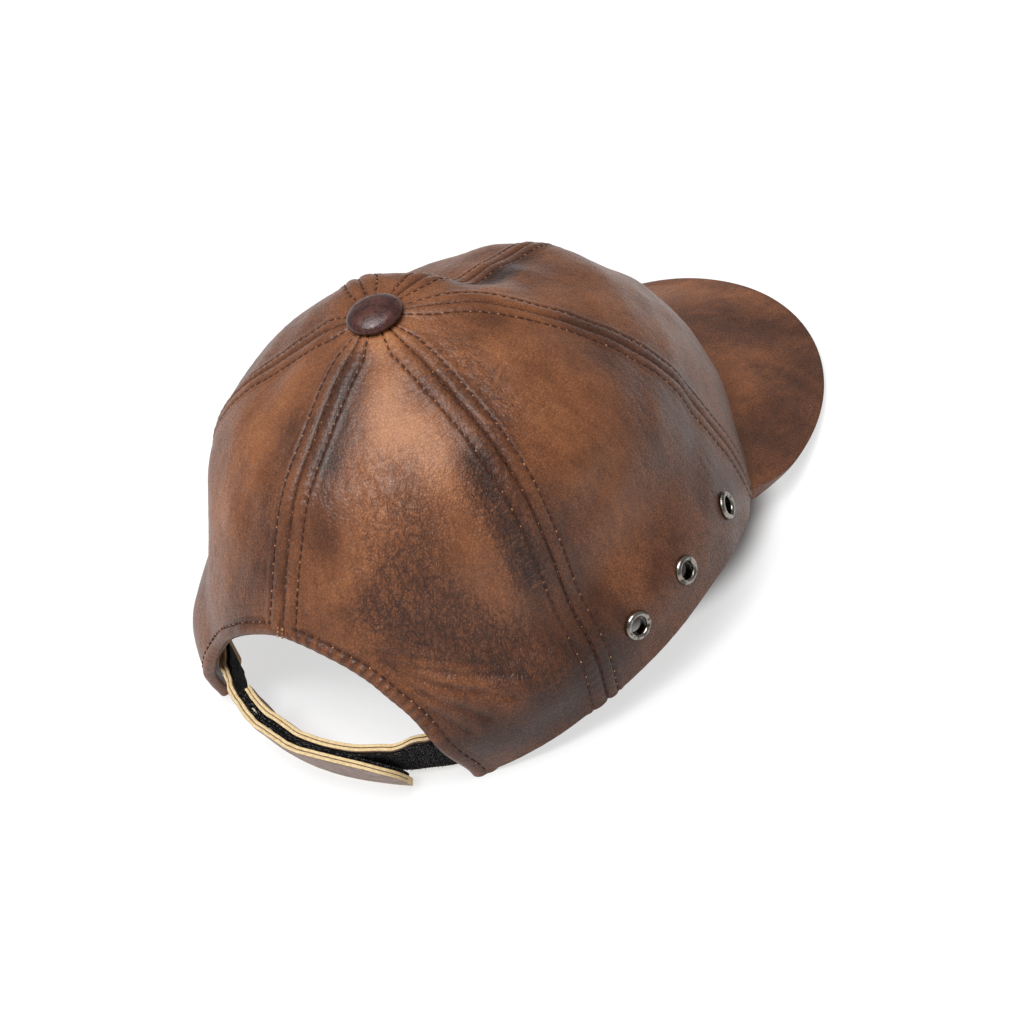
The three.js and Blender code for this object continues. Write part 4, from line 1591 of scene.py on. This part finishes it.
    def hem_row(self, stitches: Stitches, knots: Stitches) -> None:
        """Adds the row along the hem and the bar across it."""
        s = self.arch_sizes
        count = int(self.arch.length / s.pitch)
        angle = self.arch.even(count)[1:-1]
        turn, along = self.arch.spots(angle, s.row)
        points, normals = self.form.surface(turn, along, 0.3 * MM)
        ways = np.gradient(points, axis=0)
        stitches.add(points + self.shift, normals, ways, 0.9)
        middles = (points[1:] + points[:-1]) / 2
        chosen = np.random.default_rng(9).random(len(middles)) < 0.5
        knots.add(middles[chosen] + self.shift, normals[1:][chosen], ways[1:][chosen])
        for side in (-0.6, 0.6):
            grow = np.linspace(s.edge + 0.7 * MM, s.row - 0.8 * MM, 3)
            turn, along = self.arch.spots(np.full(3, 90.0), grow)
            turn = turn + side
            points, normals = self.form.surface(turn, along, 1.0 * MM)
            ways = np.gradient(points, axis=0)
            knots.add(points + self.shift, normals, ways, 1.3)


@dataclass
class Peak:
    """The leather covered peak."""

    form: CrownForm
    shift: np.ndarray
    columns: int = 170
    rows: int = 80
    bevel: float = 1.35 * MM
    wave: float = 0.35 * MM

    def build(self, leather: bpy.types.Material) -> None:
        """Builds the peak."""
        peak = self.form.peak
        crown = self.form.sizes
        painted: dict[str, np.ndarray] = {}
        lights = (
            ((-0.030, -0.075), (-0.045, -0.110), 18 * MM, 0.3),
            ((0.030, -0.160), (-0.030, -0.165), 12 * MM, 0.2),
            ((-0.066, -0.080), (-0.060, -0.130), 12 * MM, -0.3),
            ((-0.010, -0.130), (-0.040, -0.150), 14 * MM, -0.35),
            ((0.020, -0.090), (0.045, -0.120), 16 * MM, -0.2),
        )

        def place(column: np.ndarray, row: np.ndarray) -> np.ndarray:
            """Points of the peak's top, from its columns across and rows outwards."""
            turn = peak.sizes.turn + (360 - 2 * peak.sizes.turn) * column / self.columns
            x, y = self.form.rim(turn)
            out = self.form.rim_outward(turn)
            root = np.stack([x, y], -1) - out * crown.leather
            edge = peak.outline(180 * column / self.columns)
            spot = root + (edge - root) * (row / self.rows)[:, None]
            top = np.concatenate([spot, peak.top(spot[:, 0], spot[:, 1])[:, None]], 1)
            tone = np.full(len(top), -0.08)
            for start, end, width, strength in lights:
                tone += strength * bell(to_segment(spot, np.array(start), np.array(end)), width)
            painted["tone"] = tone
            painted["seam"] = 0.6 * bell((1 - row / self.rows) * peak.sizes.reach, 2.5 * MM)
            painted["hide"] = np.concatenate([spot, np.full((len(spot), 1), 0.7)], 1)
            inward = np.minimum(1, (self.rows - row) / 6)
            lift = self.wave * ripples(top, 42 * MM, 21) * inward
            return top + peak.normal(spot[:, 0]) * lift[:, None] + self.shift

        piece = Bench.sheet("peak_cover", self.columns, self.rows, place)
        Bench.paint_all(piece, painted)
        Bench.edit(piece, lambda: bpy.ops.mesh.normals_make_consistent(inside=False))
        if sum(face.normal.z for face in piece.data.polygons) < 0:
            Bench.edit(piece, lambda: bpy.ops.mesh.flip_normals())
        Bench.modify(piece, "SOLIDIFY", thickness=peak.sizes.thickness, offset=-1.0)
        Bench.modify(
            piece, "BEVEL", width=self.bevel, segments=4, limit_method="ANGLE",
            angle_limit=math.radians(50),
        )
        points = Bench.points(piece)
        points[:, 2] = np.maximum(points[:, 2], 0.0)
        Bench.move(piece, points)
        Bench.shade(piece, 50)
        Bench.dress(piece, (leather,), "leather", "peak")


@dataclass
class Button:
    """The covered button on top of the crown."""

    form: CrownForm
    shift: np.ndarray
    diameter: float = 17.5 * MM
    height: float = 4.6 * MM
    edge: float = 1.3 * MM
    tilt: float = 8.0
    grain: float = 0.05 * MM

    def build(self, leather: bpy.types.Material) -> None:
        """Builds the button on the frame's own place."""
        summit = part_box("button")[1].z
        piece = Bench.start(
            "button_cover", bpy.ops.mesh.primitive_uv_sphere_add, segments=96, ring_count=48, radius=1.0,
        )
        points = Bench.points(piece)
        radius = self.diameter / 2
        flat = np.linalg.norm(points[:, :2], axis=1)
        z = points[:, 2]
        above = (self.height - self.edge) * np.abs(z) ** 1.15
        below = -self.edge * np.abs(z) ** 0.5
        dome = np.where(z > 0, above, below)
        spread = np.where(z > 0, flat**0.92, flat**0.4)
        scale = radius * spread / np.maximum(flat, 1e-6)
        shaped = np.stack([points[:, 0] * scale, points[:, 1] * scale, dome], -1)
        shaped[:, 2] += self.grain * ripples(shaped, 5 * MM, 31) * (z > 0)
        turned = shaped @ np.array(Matrix.Rotation(-math.radians(self.tilt), 3, "X")).T
        middle = np.array([0.0, self.form.sizes.top_shift, 0.0]) + self.shift
        middle[2] = summit - float(turned[:, 2].max())
        Bench.move(piece, turned + middle)
        Bench.outward(piece)
        Bench.shade(piece, 60)
        Bench.dress(piece, (leather,), "button_leather", "button")


@dataclass
class Eyelets:
    """The metal eyelets of the side panels."""

    crown: Crown
    outer: float = 9.2 * MM
    hole: float = 5.3 * MM
    dome: float = 1.15 * MM
    depth: float = 4.0 * MM
    lip: float = 0.2 * MM
    proud: float = 0.15 * MM

    def build(self, metal: bpy.types.Material) -> None:
        """Builds the six eyelets."""
        for side, sign in (("right", 1), ("left", -1)):
            for number, (turn, along) in enumerate(self.crown.eyelets, 1):
                self.one(f"eyelet_{side}_{number}", sign * turn, along, metal)

    def one(self, name: str, turn: float, along: float, metal: bpy.types.Material) -> None:
        """Builds one eyelet from a ring.

        Args:
            name: Its node's name.
            turn: Turn on the crown.
            along: Share of the way up.
            metal: Its finish.
        """
        mean = (self.outer + self.hole) / 4
        tube = (self.outer - self.hole) / 4
        piece = Bench.start(
            f"{name}_ring", bpy.ops.mesh.primitive_torus_add, major_radius=mean, minor_radius=tube,
            major_segments=56, minor_segments=24,
        )
        points = Bench.points(piece)
        flat = np.linalg.norm(points[:, :2], axis=1)
        rise = points[:, 2] / tube
        inner = np.clip((mean - flat) / tube, 0, 1)
        down = np.clip(-rise, 0, 1)
        barrel = inner**0.5
        z = np.where(rise >= 0, rise * self.dome, -down * (self.lip + self.depth * barrel))
        narrowed = self.hole / 2 + (flat - self.hole / 2) * (1 - 0.8 * barrel)
        wall = np.where((rise < 0) & (inner > 0), narrowed, flat)
        points[:, :2] *= (wall / flat)[:, None]
        points[:, 2] = z
        # Marks the painted shade inside the barrel, down towards the hole
        Bench.paint(piece, "deep", fade(-z, -0.45 * MM, 0.35 * MM) * (inner > 0.02))
        spot, normal = self.crown.form.surface(turn, along)
        turned = np.array(Vector((0, 0, 1)).rotation_difference(Vector(normal)).to_matrix())
        Bench.move(piece, points @ turned.T + spot + normal * self.proud + self.crown.shift)
        Bench.outward(piece)
        Bench.shade(piece, 50)
        Bench.dress(piece, (metal,), "eyelet_metal", name)


@dataclass(frozen=True)
class Run:
    """A strap's lean and stand off by turn."""

    turns: tuple[float, ...]
    leans: tuple[float, ...]
    offs: tuple[float, ...]


OUTER_RUN = Run(
    turns=(-42, -34, -27, -18, -8, 2, 12, 25),
    leans=(3, 3, 6, 14, 21, 26, 28, 29),
    offs=(0.1, 0.5, 0.9, 1.0, 1.0, 1.0, 1.0, 1.2),
)
INNER_RUN = Run(
    turns=(-18, -8, 2, 12, 19, 25, 31, 42),
    leans=(14, 21, 26, 27, 24, 16, 10, 8),
    offs=(1.0, 1.0, 1.0, 1.0, 0.9, 0.6, 0.35, 0.3),
)


@dataclass
class Strap:
    """The two halves of the strap with their hook and loop tapes."""

    form: CrownForm
    shift: np.ndarray
    width: float = 18 * MM
    leather: float = 2.3 * MM
    stand_off: float = 3 * MM
    lift: float = 0.5 * MM
    tip: float = 12 * MM
    tip_end: float = 0.3
    tape: float = 0.9 * MM
    tape_width: float = 16 * MM
    gap: float = 0.3 * MM
    outer_end: float = 20.7
    clear: float = 0.15 * MM
    degree: float = 1.55 * MM
    edge_wave: float = 0.55 * MM
    sway: float = 0.5 * MM
    unevenness: float = 0.12 * MM

    def at(self, run: Run, turn: np.ndarray, across: np.ndarray, under: np.ndarray) -> np.ndarray:
        """Points of a strap.

        Args:
            run: Its lean and stand off.
            turn: Turns along it.
            across: Heights across its width.
            under: Depths under the outer strap's outer face.

        Returns:
            The points, in the crown's own frame.
        """
        lean = np.radians(self.eased(run.turns, run.leans, turn))
        off = self.eased(run.turns, run.offs, turn) * self.stand_off
        out = off - under * np.cos(lean) + across * np.sin(lean)
        x, y = self.form.rim(turn)
        plan = np.stack([x, y], -1) + self.form.rim_outward(turn) * out[:, None]
        return np.concatenate([plan, (across * np.cos(lean) + under * np.sin(lean))[:, None]], 1)

    @staticmethod
    def eased(turns: Sequence[float], values: Sequence[float], turn: np.ndarray) -> np.ndarray:
        """Values eased between the turns of a table."""
        turns_, values_ = np.array(turns, float), np.array(values, float)
        row = np.clip(np.searchsorted(turns_, turn) - 1, 0, len(turns_) - 2)
        share = np.clip((turn - turns_[row]) / (turns_[row + 1] - turns_[row]), 0, 1)
        share = share * share * (3 - 2 * share)
        return values_[row] + (values_[row + 1] - values_[row]) * share

    def tip_height(self, turn: np.ndarray) -> np.ndarray:
        """Height of the outer strap's rounded tip as a share."""
        left = np.radians(self.outer_end - turn) * self.form.sizes.width / 2
        share = 1 - np.clip(left / self.tip, 0, 1)
        return self.tip_end + (1 - self.tip_end) * np.sqrt(np.clip(1 - share**2, 0, 1))

    def layer(
        self, name: str, run: Run, ends: tuple[float, float], depth: float, thickness: float,
        heights: tuple[float, float], plies: bool, rounded: bool, seed: int,
    ) -> bpy.types.Object:
        """Builds one layer as a closed band.

        Args:
            name: The piece's name.
            run: Its lean and stand off.
            ends: Its first and last turns.
            depth: Depth of its outer face.
            thickness: Its thickness.
            heights: Lowest and highest edge.
            plies: True if its edges show two plies and a line between them.
            rounded: True for a rounded tip.
            seed: Chooses its waves.

        Returns:
            The band, with its materials numbered 0 outside, 1 edge, 2 line and 3 inside.
        """
        low, high = heights
        t = thickness
        outer = [(share, 0.0, 0) for share in np.linspace(0.03, 0.97, 13)]
        inner = [(share, t, 3) for share in np.linspace(0.97, 0.03, 9)]
        if plies:
            upper = [
                (0.992, 0.05 * t, 1), (1.0, 0.14 * t, 1), (1.002, 0.3 * t, 1), (0.995, 0.42 * t, 1),
                (0.982, 0.47 * t, 2), (0.982, 0.53 * t, 2), (0.995, 0.58 * t, 1), (1.002, 0.72 * t, 1),
                (1.0, 0.87 * t, 1), (0.992, 0.96 * t, 1),
            ]
        else:
            upper = [(0.99, 0.1 * t, 0), (1.0, 0.3 * t, 0), (1.0, 0.7 * t, 3), (0.99, 0.9 * t, 3)]
        lower = [(1 - share, under, finish) for share, under, finish in reversed(upper)]
        ring = outer + upper + inner + lower
        shares = np.array([p[0] for p in ring])
        unders = np.array([p[1] for p in ring])
        finishes = [p[2] for p in ring]
        columns = 150

        def place(column: np.ndarray, row: np.ndarray) -> np.ndarray:
            """Points of the band, from its columns along it and rows round its edges."""
            row = row % len(ring)
            turn = ends[0] + (ends[1] - ends[0]) * column / columns
            reach = np.stack([turn * self.degree, np.zeros_like(turn), np.zeros_like(turn)], -1)
            top = high * (self.tip_height(turn) if rounded else 1.0)
            top = top + self.edge_wave * ripples(reach, 24 * MM, seed)
            across = low + (top - low) * shares[row]
            sway = self.sway * ripples(reach, 30 * MM, seed + 1) * shares[row]
            points = self.at(run, turn, across, depth + unders[row] + sway)
            points += self.unevenness * ripples(points, 6 * MM, seed + 2)[:, None]
            points[:, 2] = np.maximum(points[:, 2], self.clear)
            return points + self.shift

        piece = Bench.sheet(name, columns, len(ring), place, finishes)
        Bench.close_ends(piece)
        for face in piece.data.polygons:
            if len(face.vertices) > 4:
                face.material_index = 1 if plies else 0
        Bench.shade(piece, 60)
        return piece

    def build(
        self, face: bpy.types.Material, edge: bpy.types.Material, line: bpy.types.Material,
        flesh: bpy.types.Material, tape: bpy.types.Material, fuzz: bpy.types.Material,
    ) -> None:
        """Builds both halves and their tapes.

        Args:
            face: Finish of the outer face.
            edge: Finish of the cut edges.
            line: Finish of the line between the plies.
            flesh: Finish of the inner face.
            tape: Finish of the tapes.
            fuzz: Finish of the tapes' fibres.
        """
        step = self.tape + self.gap
        inset = (self.width - self.tape_width) / 2
        deep = self.leather + self.gap + 2 * step
        low = self.lift
        leathers = (face, edge, line, flesh)
        outer = self.layer(
            "strap_outer_band", OUTER_RUN, (-41, self.outer_end), 0.0, self.leather,
            (self.clear, self.width), True, True, 41,
        )
        Bench.dress(outer, leathers, "strap_leather", "strap_outer")
        inner = self.layer(
            "strap_inner_band", INNER_RUN, (-18, 41), deep, self.leather,
            (low, low + self.width), True, False, 51,
        )
        Bench.dress(inner, leathers, "strap_leather", "strap_inner")
        loop = self.layer(
            "tape_of_outer_strap", OUTER_RUN, (-36, 20.0), self.leather + self.gap, self.tape,
            (inset, self.width - inset), False, True, 41,
        )
        Bench.dress(loop, (tape,) * 4, "tape", "strap_outer_tape")
        hook = self.layer(
            "tape_of_inner_strap", INNER_RUN, (-18, 30), deep - step, self.tape,
            (low + inset, low + self.width - inset), False, False, 51,
        )
        Bench.dress(hook, (tape,) * 4, "tape", "strap_inner_tape")
        self.fibres("tape_fibres", fuzz, deep - step, inset)

    def fibres(self, name: str, fuzz: bpy.types.Material, depth: float, inset: float) -> None:
        """Stands short bent fibres on the inner strap's tape."""
        chance = np.random.default_rng(77)
        count = 3200
        turn = chance.uniform(-17.8, 29.8, count)
        across = self.lift + inset + chance.uniform(0.02, 1.0, count) * self.tape_width
        root = self.at(INNER_RUN, turn, across, np.full(count, depth))
        out = self.at(INNER_RUN, turn, across, np.full(count, depth - 1 * MM)) - root
        out /= np.linalg.norm(out, axis=1, keepdims=True)
        bent = chance.normal(size=(count, 3))
        way = out + 0.9 * bent / np.linalg.norm(bent, axis=1, keepdims=True)
        way /= np.linalg.norm(way, axis=1, keepdims=True)
        hairs = Stitches(0.95 * MM, 0.12 * MM, 0.12 * MM, 4, 4)
        side = np.cross(way, out + 1e-3)
        hairs.add(root + way * 0.32 * MM + self.shift, side, way, chance.uniform(0.6, 1.1, count))
        Bench.dress(hairs.build(name), (fuzz,), "tape")


@dataclass
class LooseThread:
    """The short pale thread on the end of the inner strap."""

    strap: Strap
    thickness: float = 0.45 * MM

    def build(self, thread: bpy.types.Material) -> None:
        """Bends a thin cylinder over the tape."""
        piece = Bench.start(
            "loose_thread", bpy.ops.mesh.primitive_cylinder_add, vertices=8,
            radius=self.thickness / 2, depth=1.0,
        )
        Bench.edit(piece, lambda: bpy.ops.mesh.subdivide(number_cuts=1))
        points = Bench.points(piece)
        share = points[:, 2] + 0.5
        turn = -12.5 + 1.5 * share
        across = self.strap.lift + self.strap.width * (1.0 - 0.2 * share)
        base = self.strap.at(INNER_RUN, turn, across, np.full(len(turn), 3.6 * MM))
        round_part = points.copy()
        round_part[:, 2] = 0
        Bench.move(piece, base + round_part + self.strap.shift)
        Bench.outward(piece)
        Bench.shade(piece, 60)
        Bench.dress(piece, (thread,), "tape")


# Studio


@dataclass(frozen=True)
class Studio:
    """Floor, soft lights and the camera at the photograph's angle."""

    azimuth: float = 221.95
    elevation: float = 37.87
    roll: float = 14.64
    distance: float = 680 * MM
    target: tuple[float, float, float] = (68.67 * MM, -60.01 * MM, -69.07 * MM)
    lens: float = 55.24
    floor_size: float = 40.0
    world: float = 0.32

    def build(self) -> None:
        """Sets up the studio."""
        self.camera()
        self.floor()
        self.lamp("key", (0.05, 0.3, 1.0), 45.0, 2.6)
        self.lamp("sheen", (0.08, 0.5, 0.84), 14.0, 0.75)
        world = bpy.data.worlds.new("studio")
        world.use_nodes = True
        background = world.node_tree.nodes["Background"]
        background.inputs[0].default_value = (1.0, 1.0, 1.0, 1.0)
        background.inputs[1].default_value = self.world
        bpy.context.scene.world = world
        bpy.context.scene.view_settings.view_transform = "Standard"

    def floor(self) -> None:
        """Lays the floor."""
        floor = Bench.start("floor", bpy.ops.mesh.primitive_plane_add, size=self.floor_size)
        floor.data.materials.append(Floor().make())
        points = Bench.points(floor)
        points[:, 2] = -0.1 * MM
        Bench.move(floor, points)

    def camera(self) -> None:
        """Sets the camera."""
        azimuth, elevation, roll = (math.radians(v) for v in (self.azimuth, self.elevation, self.roll))
        back = Vector(
            (
                math.sin(azimuth) * math.cos(elevation),
                -math.cos(azimuth) * math.cos(elevation),
                math.sin(elevation),
            )
        )
        level = (-back).cross(Vector((0, 0, 1))).normalized()
        upright = level.cross(-back)
        right = math.cos(roll) * level - math.sin(roll) * upright
        up = math.sin(roll) * level + math.cos(roll) * upright
        data = bpy.data.cameras.new("camera")
        data.lens = self.lens
        data.sensor_width = 36
        data.clip_start = 0.01
        camera = bpy.data.objects.new("camera", data)
        turned = Matrix((right, up, back)).transposed().to_4x4()
        camera.matrix_world = Matrix.Translation(Vector(self.target) + back * self.distance) @ turned
        bpy.context.scene.collection.objects.link(camera)
        bpy.context.scene.camera = camera

    def lamp(self, name: str, way: tuple[float, float, float], spread: float, power: float) -> None:
        """Lights the scene from a wide soft part of the sky.

        Args:
            name: Its name.
            way: Direction towards it.
            spread: How wide it is, in degrees.
            power: Its power in watts on a square metre.
        """
        data = bpy.data.lights.new(name, "SUN")
        data.angle = math.radians(spread)
        data.energy = power
        lamp = bpy.data.objects.new(name, data)
        lamp.rotation_euler = (-Vector(way)).to_track_quat("-Z", "Y").to_euler()
        bpy.context.scene.collection.objects.link(lamp)


def crown_shift(peak: PeakForm) -> np.ndarray:
    """Where the crown's own frame lies in the shared frame, from the tip of the peak."""
    sizes = peak.sizes
    lean = peak.normal(np.array([0.0]))[0]
    tip = peak.root[1] - sizes.reach - lean[1] * (sizes.thickness - sizes.edge_flat) / 2
    return np.array([0.0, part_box("peak")[0].y - tip, 0.0])


def main() -> None:
    """Builds the cap."""
    logging.basicConfig(level=logging.INFO, format="%(name)s %(message)s")
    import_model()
    Studio().build()
    sizes = CrownSizes()
    peak_form = PeakForm(PeakSizes(), sizes)
    form = CrownForm(sizes, peak_form)
    shift = crown_shift(peak_form)
    leather = Leather().make()
    peak_leather = Leather("peak_leather", shift=-0.02, contrast=1.3, roughness=0.5).make()
    finishes = (FLESH, RAW_EDGE, GLUE_LINE, STRAP_FACE, TAPE, FUZZ, THREAD, DARK_THREAD, LOOSE_THREAD)
    flesh, edge, line, strap_face, tape, fuzz, thread, dark_thread, pale = (
        finish.make() for finish in finishes
    )
    crown = Crown(form, shift)
    for kind in PanelKind:
        crown.panel(kind, leather, flesh)
    crown.hem(leather)
    crown.stitching(thread, dark_thread)
    Peak(form, shift).build(peak_leather)
    Button(form, shift).build(ButtonLeather().make())
    Eyelets(crown).build(Metal().make())
    strap = Strap(form, shift)
    strap.build(strap_face, edge, line, flesh, tape, fuzz)
    LooseThread(strap).build(pale)


if __name__ == "__main__":
    main()
